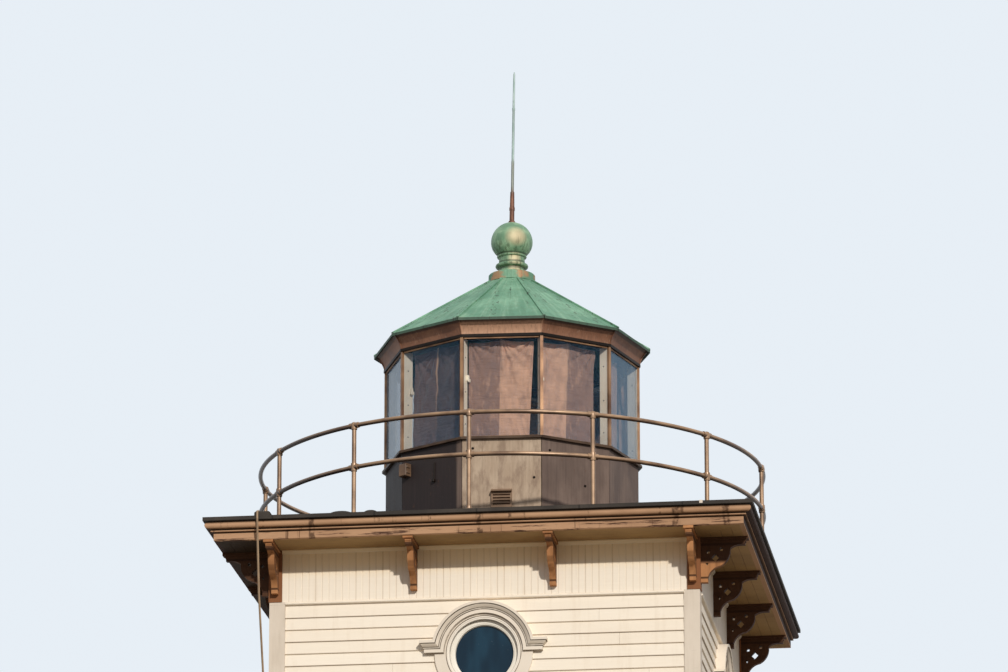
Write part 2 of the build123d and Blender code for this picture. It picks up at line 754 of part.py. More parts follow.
with BuildPart() as lantern_mullions:
    with BuildSketch(Plane.XY.offset(sill_top)):
        with PolarLocations(
            mullion_outer - MULLION_DEPTH / 2, LANTERN_SIDES, start_angle=LANTERN_TURN
        ):
            Rectangle(MULLION_DEPTH, MULLION_WIDTH)
    extrude(amount=GLASS_HEIGHT)
lantern_mullions.part.label = "lantern_mullions"
export_step(lantern_mullions.part, "parts/lantern_mullions.step")


def roof_height(radius):
    """Height of the lantern roof's top over a hip, at a radius from the axis."""
    slope = LANTERN_ROOF_RISE / (eave_radius - FLANGE_BASE_RADIUS)
    return eave_top + (eave_radius - radius) * slope


def facet_distance(radius):
    """Distance from the axis to a facet's middle, where its corners are at a radius."""
    return radius * cos(radians(half_facet))


# Cove: copper sheet that flares from the head out to the eave
cove_foot = LANTERN_RADIUS + 2
cove_reach = eave_radius - 2 * COVE_THICK
with BuildPart() as cove_sheet:
    with BuildSketch(Plane.XZ) as cove_outline:
        foot_out = (facet_distance(cove_foot), head_top)
        foot_in = (facet_distance(cove_foot) - COVE_THICK, head_top)
        top_out = (
            facet_distance(cove_reach),
            roof_height(cove_reach) - LANTERN_ROOF_THICK,
        )
        top_in = (
            facet_distance(cove_reach - COVE_THICK),
            roof_height(cove_reach - COVE_THICK) - LANTERN_ROOF_THICK,
        )
        with BuildLine():
            SagittaArc(foot_out, top_out, COVE_THICK)
            Polyline(top_out, top_in, foot_in, foot_out)
        make_face()
    extrude(amount=eave_radius / 2, both=True)
    mitre(half_facet, MITRE_GAP)
with BuildPart() as lantern_cove:
    with PolarLocations(0, LANTERN_SIDES, start_angle=first_facet):
        add(cove_sheet.part)
lantern_cove.part.label = "lantern_cove"
export_step(lantern_cove.part, "parts/lantern_cove.step")

# Lantern roof: ten copper-covered slopes with a raised seam on each hip
slope_profile = section(
    (facet_distance(eave_radius), eave_top),
    (facet_distance(FLANGE_BASE_RADIUS), roof_peak),
    (facet_distance(FLANGE_BASE_RADIUS), roof_peak - LANTERN_ROOF_THICK),
    (facet_distance(eave_radius), eave_top - LANTERN_ROOF_THICK),
)
with BuildPart() as lantern_roof:
    with PolarLocations(0, LANTERN_SIDES, start_angle=first_facet):
        add(mitred_length(slope_profile, eave_radius / 2, half_facet, HIP_GAP))
lantern_roof.part.label = "lantern_roof"
export_step(lantern_roof.part, "parts/lantern_roof.step")

hip_top_radius = FLANGE_BASE_RADIUS + HIP_HEIGHT * 2
hip_profile = section(
    (eave_radius, eave_top),
    (hip_top_radius, roof_height(hip_top_radius)),
    (hip_top_radius, roof_height(hip_top_radius) + HIP_HEIGHT),
    (eave_radius, eave_top + HIP_HEIGHT),
)
with BuildPart() as hip_seam:
    extrude(hip_profile, amount=HIP_WIDTH / 2, both=True)
with BuildPart() as roof_hips:
    with PolarLocations(0, LANTERN_SIDES, start_angle=LANTERN_TURN):
        add(hip_seam.part)
roof_hips.part.label = "roof_hips"
export_step(roof_hips.part, "parts/roof_hips.step")

# Curtains: one behind each pane, hung from the head
with BuildPart() as curtains:
    with BuildSketch(Plane.XY.offset(sill_top + CURTAIN_SILL_GAP)):
        with PolarLocations(
            facet_distance(LANTERN_RADIUS) - CURTAIN_INSET, LANTERN_SIDES, start_angle=first_facet
        ):
            Rectangle(CURTAIN_THICK, CURTAIN_WIDTH)
    extrude(amount=GLASS_HEIGHT - CURTAIN_SILL_GAP - FIT_GAP)
curtains.part.label = "curtains"
export_step(curtains.part, "parts/curtains.step")

# Finial: base flange, neck with two rings, and the ball, each level a ring of flats
flange_top = roof_peak + FLANGE_BASE_HEIGHT
ball_centre = finial_neck_top + BALL_LOWER_HEIGHT * 0.735
ring_radius = NECK_RADIUS * 1.13
torus_radius = NECK_RADIUS * 1.26
finial_levels = [
    (FLANGE_BASE_RADIUS, roof_peak),
    (FLANGE_BASE_RADIUS, flange_top - 6),
    (FLANGE_BASE_RADIUS - 8, flange_top),
    (NECK_RADIUS + 4, flange_top + 6),
    (NECK_RADIUS, flange_top + 62),
    (torus_radius * 0.93, flange_top + 66),
    (torus_radius, flange_top + 78),
    (torus_radius, flange_top + 92),
    (torus_radius * 0.93, flange_top + 104),
    (NECK_RADIUS, flange_top + 108),
    (NECK_RADIUS, finial_neck_top - 24),
    (ring_radius, finial_neck_top - 20),
    (ring_radius, finial_neck_top - 4),
]
ball_start = degrees(asin((finial_neck_top - ball_centre) / BALL_LOWER_HEIGHT))
ball_end = 90 - degrees(asin(ROD_FOOT_RADIUS / BALL_RADIUS))
for level in range(2 * BALL_LEVELS + 1):
    angle = radians(ball_start + (ball_end - ball_start) * level / (2 * BALL_LEVELS))
    half_height = BALL_LOWER_HEIGHT if angle < 0 else BALL_RADIUS
    finial_levels.append((BALL_RADIUS * cos(angle), ball_centre + half_height * sin(angle)))
rod_base = finial_levels[-1][1]
flat_ratio = cos(radians(180 / FINIAL_SIDES))
finial_profile = section(
    (0, roof_peak),
    *[(radius * flat_ratio, height) for radius, height in finial_levels],
    (0, rod_base),
)
with BuildPart() as finial:
    with PolarLocations(0, FINIAL_SIDES):
        add(mitred_length(finial_profile, FLANGE_BASE_RADIUS, 180 / FINIAL_SIDES, 0))
finial.part.label = "finial"
export_step(finial.part, "parts/finial.step")

# Lightning rod: a foot and a socket of copper, and a thin rod that leans a little
rod_profile = section(
    (0, 0),
    (ROD_FOOT_RADIUS, 0),
    (ROD_FOOT_RADIUS, 20),
    (ROD_SOCKET_RADIUS, 22),
    (ROD_SOCKET_RADIUS - 4, ROD_SOCKET_LENGTH),
    (ROD_RADIUS, ROD_SOCKET_LENGTH + 2),
    (ROD_TIP_RADIUS, ROD_LENGTH),
    (0, ROD_LENGTH),
)
with BuildPart() as lightning_rod:
    with Locations(Plane(origin=(0, 0, rod_base), z_dir=(sin(radians(ROD_LEAN)), 0, cos(radians(ROD_LEAN))))):
        with PolarLocations(0, PIPE_SIDES):
            add(mitred_length(rod_profile, ROD_FOOT_RADIUS, 180 / PIPE_SIDES, 0))
    split(bisect_by=Plane.XY.offset(rod_base), keep=Keep.TOP)
lightning_rod.part.label = "lightning_rod"
export_step(lightning_rod.part, "parts/lightning_rod.step")

# Railing: posts with fittings where the rails pass, and two rings of pipe between them
post_angles = [angle + turn - 90 for turn in (0, 180) for angle in FRONT_POST_ANGLES]
top_rail_axis = ROOF_EDGE_HEIGHT + TOP_RAIL_HEIGHT
mid_rail_axis = ROOF_EDGE_HEIGHT + MID_RAIL_HEIGHT
post_parts = [
    (PIPE_RADIUS, ROOF_EDGE_HEIGHT, top_rail_axis),
    (FITTING_RADIUS, top_rail_axis - FITTING_HEIGHT / 2, top_rail_axis + FITTING_HEIGHT / 2),
    (FITTING_RADIUS, mid_rail_axis - FITTING_HEIGHT / 2, mid_rail_axis + FITTING_HEIGHT / 2),
]


def deck_height(x, y):
    """Height of the gallery deck's top at a place on its slope."""
    from_edge = half_gallery - max(abs(x), abs(y))
    return ROOF_EDGE_HEIGHT + ROOF_RISE * from_edge / (half_gallery - ROOF_FLAT_SIDE / 2)


with BuildPart() as railing_posts:
    for angle in post_angles:
        x = railing_radius * cos(radians(angle))
        y = railing_radius * sin(radians(angle))
        flange_top = deck_height(x, y) + FLANGE_THICK
        flange = (FLANGE_RADIUS, ROOF_EDGE_HEIGHT, flange_top)
        for radius, bottom, top in [*post_parts, flange]:
            with BuildSketch(Plane.XY.offset(bottom)):
                with Locations((x, y)):
                    RegularPolygon(radius, PIPE_SIDES, rotation=angle + 180 / PIPE_SIDES)
            extrude(amount=top - bottom)
    add(gallery_deck.part, mode=Mode.SUBTRACT)
railing_posts.part.label = "railing_posts"
export_step(railing_posts.part, "parts/railing_posts.step")


def rail_ring(height):
    half_turn = 180 / RAIL_LENGTHS
    distance = railing_radius * (1 + cos(radians(half_turn))) / 2
    with BuildPart() as pipe_length:
        with BuildSketch(Plane.XZ):
            with Locations((distance, height)):
                RegularPolygon(PIPE_RADIUS, PIPE_SIDES, rotation=180 / PIPE_SIDES)
        extrude(amount=railing_radius * tan(radians(half_turn)) * 1.2, both=True)
        mitre(half_turn, 0)
    with BuildPart() as ring:
        with PolarLocations(0, RAIL_LENGTHS):
            add(pipe_length.part)
        with BuildSketch(Plane.XY.offset(height)):
            for angle in post_angles:
                with PolarLocations(railing_radius, 1, start_angle=angle):
                    Rectangle(4 * PIPE_RADIUS, 2 * FITTING_RADIUS * cos(radians(180 / PIPE_SIDES)))
        extrude(amount=2 * PIPE_RADIUS, both=True, mode=Mode.SUBTRACT)
    return ring


top_rail = rail_ring(top_rail_axis)
top_rail.part.label = "top_rail"
export_step(top_rail.part, "parts/top_rail.step")

mid_rail = rail_ring(mid_rail_axis)
mid_rail.part.label = "mid_rail"
export_step(mid_rail.part, "parts/mid_rail.step")

# Wall vent: a louvred box low on the lantern's front facet, under a sloping hood
facet_face = facet_distance(LANTERN_RADIUS - LANTERN_WALL_SETBACK)
vent_bottom = ROOF_EDGE_HEIGHT + VENT_ABOVE_EDGE
vent_top = vent_bottom + VENT_HEIGHT
slat_pitch = (VENT_HEIGHT - VENT_HOOD_HEIGHT - VENT_REACH) / VENT_SLATS
with BuildPart() as wall_vent:
    with BuildSketch(Plane.YZ.offset(facet_face)):
        with Locations((0, (vent_bottom + vent_top - VENT_HOOD_HEIGHT / 2) / 2)):
            Rectangle(VENT_WIDTH, VENT_HEIGHT - VENT_HOOD_HEIGHT / 2)
    extrude(amount=VENT_REACH)
    with BuildSketch(Plane.YZ.offset(facet_face + VENT_REACH / 4)):
        for slat in range(VENT_SLATS):
            with Locations((0, vent_bottom + VENT_REACH / 2 + slat_pitch * (slat + 0.5))):
                Rectangle(VENT_WIDTH - VENT_REACH, slat_pitch * 0.5)
    extrude(amount=VENT_REACH, mode=Mode.SUBTRACT)
    extrude(
        section(
            (facet_face, vent_top - VENT_HOOD_HEIGHT),
            (facet_face + VENT_HOOD_REACH, vent_top - VENT_HOOD_HEIGHT),
            (facet_face + VENT_HOOD_REACH, vent_top - VENT_HOOD_HEIGHT * 0.7),
            (facet_face, vent_top),
        ),
        amount=VENT_WIDTH / 2,
        both=True,
    )
with BuildPart() as vent_in_place:
    with PolarLocations(0, 1, start_angle=LANTERN_TURN - 90):
        add(wall_vent.part)
vent_in_place.part.label = "wall_vent"
export_step(vent_in_place.part, "parts/wall_vent.step")

# Junction box: on the facet to the left of the front, beside its far corner
with BuildPart() as box_on_facet:
    with BuildSketch(Plane.YZ.offset(facet_face)):
        with Locations((-BOX_FROM_MIDDLE, ROOF_EDGE_HEIGHT + BOX_ABOVE_EDGE)):
            Rectangle(BOX_WIDTH, BOX_HEIGHT)
    extrude(amount=BOX_REACH)
with BuildPart() as junction_box:
    with PolarLocations(0, 1, start_angle=LANTERN_TURN - 90 - 2 * half_facet):
        add(box_on_facet.part)
junction_box.part.label = "junction_box"
export_step(junction_box.part, "parts/junction_box.step")

# Lightning conductor: a cable from the lump on the deck, over the roof edge, back to the corner
# and down the left-hand side on clips, with a bend outwards over the foundation
edge_line = -half_gallery - CABLE_OFF_EDGE
down_line = -half_tower - CABLE_CLEARANCE
foot_line = -half_tower - FOUNDATION_LEDGE - 2 * CABLE_RADIUS
cable_route = [
    (-CABLE_FROM_AXIS, POCKET_WIDTH / 2 - half_gallery, ROOF_EDGE_HEIGHT + POCKET_HEIGHT + CABLE_RADIUS),
    (-CABLE_FROM_AXIS, edge_line, ROOF_EDGE_HEIGHT + POCKET_HEIGHT - CABLE_RADIUS),
    (-CABLE_FROM_AXIS, edge_line, deck_bottom),
    (down_line, -half_tower - 340, block_bottom),
    (down_line, -half_tower - 60, block_bottom - 700),
    (down_line, -CABLE_DOWN_LINE, block_bottom - 960),
    (down_line, -CABLE_DOWN_LINE, CABLE_FOOT_HEIGHT + 4 * CABLE_RADIUS),
    (foot_line, -CABLE_DOWN_LINE, CABLE_FOOT_HEIGHT),
    (foot_line, -CABLE_DOWN_LINE, 0),
]
clip_pitch = (block_bottom - 960 - CABLE_FOOT_HEIGHT) / CLIP_COUNT
with BuildPart() as conductor:
    with BuildLine() as route:
        Polyline(*cable_route)
    with BuildSketch(Plane(origin=route.line @ 0, z_dir=route.line % 0)):
        RegularPolygon(CABLE_RADIUS, CABLE_SIDES)
    sweep(path=route.line, transition=Transition.RIGHT)
    for clip in range(CLIP_COUNT):
        clip_bottom = CABLE_FOOT_HEIGHT + clip_pitch * (clip + 0.5)
        with BuildSketch(Plane.XY.offset(clip_bottom)):
            with Locations((-half_tower - CABLE_CLEARANCE / 2, -CABLE_DOWN_LINE)):
                Rectangle(CABLE_CLEARANCE, CLIP_WIDTH)
        extrude(amount=CLIP_WIDTH)
    add(gallery_deck.part, mode=Mode.SUBTRACT)
conductor.part.label = "conductor"
export_step(conductor.part, "parts/conductor.step")
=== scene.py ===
# %% [markdown]
# # A timber lighthouse with a glazed lantern
# The real object is a square wooden tower with clapboard walls, a bracketed gallery and a ten-sided
# lantern under a copper roof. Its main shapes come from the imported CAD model, which is loaded first
# and never moved. This lesson then adds what a carpenter and a coppersmith would add: boards,
# mouldings, rails that are truly round, hung cloth, and paint and metal with their wear.

# %% Load the fixed frame
import bmesh
import bpy
from math import asin, atan2, cos, exp, pi, radians, sin, sqrt, tau
from mathutils import Matrix, Vector, noise


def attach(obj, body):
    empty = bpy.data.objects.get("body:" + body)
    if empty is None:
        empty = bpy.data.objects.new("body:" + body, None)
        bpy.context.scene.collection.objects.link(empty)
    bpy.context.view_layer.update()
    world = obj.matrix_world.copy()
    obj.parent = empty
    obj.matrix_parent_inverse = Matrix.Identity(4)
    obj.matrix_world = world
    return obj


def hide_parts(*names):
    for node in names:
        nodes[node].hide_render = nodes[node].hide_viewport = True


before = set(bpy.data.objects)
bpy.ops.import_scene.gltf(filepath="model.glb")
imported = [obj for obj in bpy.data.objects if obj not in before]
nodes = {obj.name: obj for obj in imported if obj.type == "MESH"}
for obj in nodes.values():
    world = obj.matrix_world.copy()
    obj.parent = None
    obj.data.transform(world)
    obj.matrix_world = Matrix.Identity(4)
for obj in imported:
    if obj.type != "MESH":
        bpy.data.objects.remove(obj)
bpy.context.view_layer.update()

# %% [markdown]
# ## The camera
# The photograph is taken from the ground, a little to the right of the front, with a long lens.
# A camera could be tried by hand until the roof edge fits. Here its place was worked out from the
# corners of the gallery, the window and the tip of the rod, so it is written down as found.

# %% Camera
eye = bpy.data.cameras.new("camera")
eye.sensor_width = 36
eye.lens = 223.97
eye.clip_end = 900
camera = bpy.data.objects.new("camera", eye)
camera.location = (7.174, -54.691, 0.057)
camera.rotation_euler = (radians(106.372), 0, radians(7.548))
bpy.context.scene.collection.objects.link(camera)
bpy.context.scene.camera = camera
bpy.context.scene.view_settings.view_transform = "Standard"
print("camera stands", round(camera.location.length, 1), "m away")

# %% [markdown]
# ## Light and floor
# Low sun stands to the front and right, and the sky fills the shade. A sun lamp with a small disc
# keeps the shadows of the brackets readable, and a pale world does what the sky does. The backdrop
# is the world's own colour where the camera looks straight at it, so it adds no light.

# %% Sun, sky and floor
SUN_FROM_RIGHT = 22
SUN_HEIGHT = 23.5
lamp = bpy.data.lights.new("sun", "SUN")
lamp.energy = 2.42
lamp.angle = radians(1.6)
lamp.color = (1, 0.95, 0.87)
sun = bpy.data.objects.new("sun", lamp)
sun.rotation_euler = (radians(90 - SUN_HEIGHT), 0, radians(SUN_FROM_RIGHT))
bpy.context.scene.collection.objects.link(sun)

world = bpy.data.worlds.new("sky")
bpy.context.scene.world = world
world.use_nodes = True
sky = world.node_tree
sky.nodes.clear()
fill = sky.nodes.new("ShaderNodeBackground")
fill.inputs["Color"].default_value = (0.94, 0.95, 1, 1)
fill.inputs["Strength"].default_value = 0.42
backdrop = sky.nodes.new("ShaderNodeBackground")
backdrop.inputs["Color"].default_value = (0.80, 0.86, 0.92, 1)
backdrop.inputs["Strength"].default_value = 1
ray = sky.nodes.new("ShaderNodeLightPath")
seen = sky.nodes.new("ShaderNodeMath")
seen.operation = "MAXIMUM"
seen_in_glass = sky.nodes.new("ShaderNodeMath")
seen_in_glass.operation = "MAXIMUM"
either = sky.nodes.new("ShaderNodeMixShader")
out = sky.nodes.new("ShaderNodeOutputWorld")
for source, output, target, socket in (
    (ray, "Is Glossy Ray", seen_in_glass, 0),
    (ray, "Is Transmission Ray", seen_in_glass, 1),
    (ray, "Is Camera Ray", seen, 0),
    (seen_in_glass, 0, seen, 1),
    (seen, 0, either, 0),
    (fill, 0, either, 1),
    (backdrop, 0, either, 2),
    (either, 0, out, "Surface"),
):
    sky.links.new(source.outputs[output], target.inputs[socket])

ground = bmesh.new()
bmesh.ops.create_circle(ground, cap_ends=True, segments=64, radius=150)
ground_mesh = bpy.data.meshes.new("floor")
ground.to_mesh(ground_mesh)
ground.free()
floor = bpy.data.objects.new("floor", ground_mesh)
bpy.context.scene.collection.objects.link(floor)
print("sun", SUN_HEIGHT, "degrees high, floor", ground_mesh.name)

# %% [markdown]
# ## Writing materials as sums
# A material could be drawn as a web of nodes by hand. Written out, that web is hard to read, so a
# small class wraps a socket and lets Python's own signs add the Math nodes. One more method adds
# every other node: it takes the node's type, its settings, and the values or wires of its sockets.

# %% The wire
class Wire:
    """An output socket that can be added, subtracted, multiplied, divided and compared."""

    def __init__(self, finish, socket):
        self.finish = finish
        self.socket = socket

    def __add__(self, other):
        return self.finish.maths("ADD", self, other)

    def __sub__(self, other):
        return self.finish.maths("SUBTRACT", self, other)

    def __rsub__(self, other):
        return self.finish.maths("SUBTRACT", other, self)

    def __mul__(self, other):
        return self.finish.maths("MULTIPLY", self, other)

    def __truediv__(self, other):
        return self.finish.maths("DIVIDE", self, other)

    def __gt__(self, other):
        return self.finish.maths("GREATER_THAN", self, other)

    __radd__ = __add__
    __rmul__ = __mul__


# %% [markdown]
# A finish is built up as a painter does it: a ground colour, and over it one layer after another, each
# with the share of the surface that it covers. The shares come from noise and from measures of where
# a spot lies. All measures are in metres, from the middle of the tower's foot.

# %% The finish
def tint(*levels):
    """A paint colour with levels from 0 to 255, turned into the linear light of the shaders."""
    return (*[((level / 255 + 0.055) / 1.055) ** 2.4 for level in levels], 1)


class Finish:
    """A material in the making."""

    def __init__(self, name):
        self.material = bpy.data.materials.new(name)
        self.material.use_nodes = True
        self.tree = self.material.node_tree
        self.shader = self.tree.nodes["Principled BSDF"]
        self.place = self.node("ShaderNodeTexCoord", output="Object")

    def put(self, socket, value):
        if isinstance(value, Wire):
            self.tree.links.new(value.socket, socket)
        else:
            socket.default_value = value

    def node(self, kind, settings=None, values=None, output=0):
        made = self.tree.nodes.new(kind)
        for name, value in (settings or {}).items():
            setattr(made, name, value)
        for name, value in (values or {}).items():
            self.put(made.inputs[name], value)
        return Wire(self, made.outputs[output])

    def maths(self, operation, *numbers):
        return self.node("ShaderNodeMath", {"operation": operation}, dict(enumerate(numbers)))

    def vector(self, operation, values, output=0):
        return self.node("ShaderNodeVectorMath", {"operation": operation}, values, output)

    def part(self, axis):
        """How far a point lies along X, Y or Z."""
        return self.node("ShaderNodeSeparateXYZ", None, {0: self.place}, axis)

    def parts(self):
        return [self.part(axis) for axis in "XYZ"]

    def facing(self, axis):
        """How far a face looks along X, Y or Z, from -1 to 1."""
        looks = self.node("ShaderNodeNewGeometry", output="Normal")
        return self.node("ShaderNodeSeparateXYZ", None, {0: looks}, axis)

    def size_of(self, wire):
        """A number without its sign."""
        return self.maths("ABSOLUTE", wire)

    def aside(self):
        """How far a point lies to either side of the middle of its wall."""
        return self.maths("MINIMUM", self.size_of(self.part("X")), self.size_of(self.part("Y")))

    def on_flanks(self):
        """1 on the tower's left and right, and 0 on its front and back."""
        return self.fade(self.size_of(self.part("X")) - self.size_of(self.part("Y")), 0, 0.004)

    def chance(self, number):
        """A value from 0 to 1 that is the same wherever the number is."""
        return self.node("ShaderNodeTexWhiteNoise", {"noise_dimensions": "1D"}, {"W": number}, "Value")

    def fade(self, wire, low, high):
        """0 below low, 1 above high, and smooth between them."""
        settings = {"interpolation_type": "SMOOTHSTEP"}
        return self.node("ShaderNodeMapRange", settings, {"Value": wire, "From Min": low, "From Max": high})

    def line(self, wire, middle, half_width):
        """1 on a thin line where a measure has its middle value, and 0 beside it."""
        return 1 - self.fade(self.size_of(wire - middle), half_width * 0.5, half_width)

    def cloud(self, size, stretch=(1, 1, 1), detail=4, rough=0.55):
        """Soft noise from 0 to 1, its blotches about a size in metres, stretched along an axis."""
        scaled = self.vector("DIVIDE", {0: self.place, 1: stretch})
        values = {"Vector": scaled, "Scale": 1 / size, "Detail": detail, "Roughness": rough}
        return self.node("ShaderNodeTexNoise", None, values, "Fac")

    def blots(self, size, low, high, stretch=(1, 1, 1), detail=5, rough=0.55):
        """The same noise with its low parts cleared to 0 and its high parts filled to 1."""
        return self.fade(self.cloud(size, stretch, detail, rough), low, high)

    def mix(self, share, below, above):
        """One colour laid over another where the share is 1. Each is a wire, or three levels."""
        below, above = (side if isinstance(side, Wire) else tint(*side) for side in (below, above))
        return self.node("ShaderNodeMix", {"data_type": "RGBA"}, {0: share, 6: below, 7: above}, 2)

    def layers(self, colour, *coats):
        """Several colours laid on in turn, each written after the share that it covers."""
        for share, over in coats:
            colour = self.mix(share, colour, over)
        return colour

    def dress(self, colour, rough, relief=None, depth=0.002, metallic=0, **fixed):
        """Wires the shader up and gives the material."""
        sockets = {"Base Color": colour, "Roughness": rough, "Metallic": metallic}
        sockets.update({name.replace("_", " "): value for name, value in fixed.items()})
        if relief:
            values = {"Strength": 1, "Distance": depth, "Height": relief}
            sockets["Normal"] = self.node("ShaderNodeBump", None, values)
        for name, value in sockets.items():
            self.put(self.shader.inputs[name], value)
        print("finish:", self.material.name)
        return self.material


# %% [markdown]
# ## Painted boards
# The walls, trims, cornice and brackets are painted timber. The paint is matt and chalky, dirt
# settles in it, rain runs down it, and the grain shows through. One recipe makes them all: it takes
# the clean and the dirty colour, the direction of the grain, and how much of the paint has worn. On
# the brackets it also paints shade: dark lines under the cap, above the foot and across the middle,
# and dark faces that look right and dark brackets on the tower's flanks, but for one lower arm that
# the sun reaches.

# %% Paint over timber
PAINT_DEPTH = 0.0012
# each ledge of a bracket that gets a line of painted shade: its height, half its width, and how dark it is
BRACKET_SHADE_LINES = ((13.742, 0.014, 1), (13.446, 0.012, 1), (13.60, 0.03, 0.4))


def painted_timber(name, clean, dirty, grain=(1, 1, 1), wear=0.3, shade_colour=None):
    coat = Finish(name)
    blotch = coat.blots(0.9, 0.38, 0.75)
    runs = coat.blots(0.05, 0.45, 0.8, (1, 1, 14))
    fibre = coat.cloud(0.012, grain, 4, 0.6)
    chips = coat.blots(0.035, 0.76 - 0.12 * wear, 0.79 - 0.12 * wear, grain, 8, 0.7)
    stains = coat.blots(0.05, 0.64, 0.72, (8, 8, 0.7), 7, 0.65)
    colour = coat.layers(
        clean,
        (blotch * 0.45 + runs * 0.4, dirty),
        (fibre * 0.22, dirty),
        (chips * wear, (146, 118, 92)),
        (stains * wear, (52, 34, 28)),
    )
    if shade_colour:
        x, y, up = coat.parts()
        # painted shade: a dark line under each ledge of the bracket and across its middle
        shade_lines = sum(coat.line(up, height, half) * shade_strength for height, half, shade_strength in BRACKET_SHADE_LINES)
        # painted shade on faces that look right, and on the brackets of the tower's flanks but for one
        # sunlit lower arm
        shaded_flank = coat.fade(coat.facing("X"), 0.3, 0.8) * coat.fade(up, 13.40, 13.48)
        sunlit_arm = coat.fade(up, 13.60, 13.56) * coat.fade(x, 0, 1) * coat.fade(y, -1.2, -1.5)
        colour = coat.layers(
            colour,
            (shade_lines * 0.85, (48, 28, 18)),
            (shaded_flank * 0.6, shade_colour),
            (coat.on_flanks() * (1 - sunlit_arm) * 0.9, shade_colour),
        )
    relief = fibre * 0.35 - chips * wear
    return coat.dress(colour, 0.62 + 0.18 * fibre, relief, PAINT_DEPTH, Specular_IOR_Level=0.15)


trim_paint = painted_timber("trim_paint", (234, 222, 207), (190, 176, 157), (1, 1, 9), 0.32)
sash_paint = painted_timber("sash_paint", (255, 252, 242), (232, 220, 202), wear=0.1)
block_paint = painted_timber("block_paint", (150, 100, 66), (98, 64, 44), (1, 1, 9), 0.4)
bracket_paint = painted_timber("bracket_paint", (204, 146, 98), (98, 60, 36), (3, 3, 3), 0.6, (58, 36, 26))
door_paint = painted_timber("door_paint", (110, 70, 50), (74, 48, 36), (1, 1, 12), 0.35)
floor_oil = painted_timber("floor_oil", (138, 102, 70), (92, 66, 46), (14, 1, 1), 0.4)

# %% [markdown]
# ## Painted shade in the windows' mouldings
# Round each window the same cream paint has thin dark lines in the hollows of its mouldings, painted
# as the shade that falls there. They could be drawn by hand. Here the paint measures how far a spot
# is from the window's middle, and darkens at the radius of each hollow. In the hood's level ears the
# height takes the radius's place.

# %% Ringed paint
STOREY = 3.6
TOP_WINDOW = 12.83  # height of the top storey's windows, at their middle
HOOD_INNER = 0.345
HOOD_HOLLOWS = [HOOD_INNER + out for out in (0.002, 0.0385, 0.051, 0.0835)]


def ringed_paint(name, hollows, eared):
    coat = Finish(name)
    aside = coat.aside()
    above = coat.maths("WRAP", coat.part("Z") - TOP_WINDOW, STOREY / 2, -STOREY / 2)
    radius = coat.maths("SQRT", aside * aside + above * above)
    if eared:
        radius = coat.maths("MINIMUM", radius, above + HOOD_INNER)
    fibre = coat.cloud(0.012, rough=0.6)
    soiled = coat.blots(0.5, 0.38, 0.75) * 0.35 + fibre * 0.15
    shade_strength = coat.blots(0.08, 0.25, 0.55)
    # painted shade: a thin dark line at the radius of each hollow, patchy with noise
    shade_rings = [(coat.line(radius, hollow, 0.005) * shade_strength * 0.6, (96, 78, 60)) for hollow in hollows]
    colour = coat.layers((242, 231, 216), (soiled, (200, 186, 166)), *shade_rings)
    if not eared:
        # the casing's inner lip is painted paler all round
        pale_lip = coat.line(radius, 0.310, 0.018)
        colour = coat.mix(pale_lip * 0.45, colour, (255, 250, 240))
    return coat.dress(colour, 0.62 + 0.18 * fibre, fibre * 0.35, PAINT_DEPTH, Specular_IOR_Level=0.15)


casing_paint = ringed_paint("casing_paint", (0.2985, 0.3295), False)
hood_paint = ringed_paint("hood_paint", HOOD_HOLLOWS, True)

# %% [markdown]
# ## The cornice's paint
# The same brown paint has had more to bear on the cornice. Painted shade darkens the hollows between
# its mouldings and the top of the crown, long dark stains run along the fascia where the wood has been
# wet, and water has run down the front below four joints of the roofing. The flanks are painted almost
# black as shade, and on the right the arrises carry a painted highlight.

# %% Paint for the cornice
SOFFIT = 13.805
FASCIA_TOP = 13.871
FILLET_TOP = 13.893
CROWN_BOTTOM = 13.903
CROWN_TOP = 13.958
CROWN_JOINTS = (-1.455, 0.02, 1.74, 2.18)  # where water runs down the front


def cornice_coat():
    coat = Finish("cornice_paint")
    x, y, up = coat.parts()
    blotch = coat.blots(0.4, 0.38, 0.72, (2, 2, 1), 6)
    fibre = coat.cloud(0.012, (6, 6, 1), 4, 0.6)
    on_fascia = coat.fade(up, FASCIA_TOP, FASCIA_TOP - 0.01)
    wet = coat.blots(0.045, 0.535, 0.60, (9, 9, 0.55), 7, 0.68) * on_fascia
    drips = coat.blots(0.055, 0.59, 0.67, (1, 1, 14), 6, 0.62)
    wander = x + coat.cloud(0.12, detail=3) * 0.06 - 0.03
    joints = sum(coat.line(wander, place, 0.034) for place in CROWN_JOINTS)
    run_down = joints * coat.fade(y, 0, -0.1) * coat.blots(0.05, 0.36, 0.56, detail=4)
    # painted shade: dark lines in the hollows over the fascia and the fillet, and a darker top to the crown
    quirk_shade = coat.line(up, FASCIA_TOP + 0.003, 0.008) + coat.line(up, FILLET_TOP + 0.005, 0.008)
    hollows = quirk_shade + coat.fade(up, CROWN_TOP - 0.024, CROWN_TOP + 0.004)
    front = coat.layers(
        (200, 160, 126),
        (blotch * 0.55, (142, 106, 80)),
        (fibre * 0.25, (120, 84, 60)),
        (wet * 0.9, (60, 36, 32)),
        (drips * 0.7, (70, 44, 30)),
        (run_down * 0.75, (52, 30, 20)),
        (hollows * 0.8, (44, 24, 12)),
    )
    # painted highlight on the right flank's arrises, over painted shade that makes both flanks near black
    arris_highlight = coat.line(up, SOFFIT + 0.005, 0.010) + coat.line(up, FILLET_TOP - 0.006, 0.009)
    pale = arris_highlight * coat.fade(x, 0, 0.1) * 0.85
    shaded_flank = coat.layers((60, 40, 31), (blotch * 0.5, (40, 27, 22)), (pale, (190, 150, 116)))
    colour = coat.mix(coat.on_flanks(), front, shaded_flank)
    return coat.dress(colour, 0.6 + 0.2 * fibre, fibre * 0.35, PAINT_DEPTH, Specular_IOR_Level=0.12)


cornice_paint = cornice_coat()
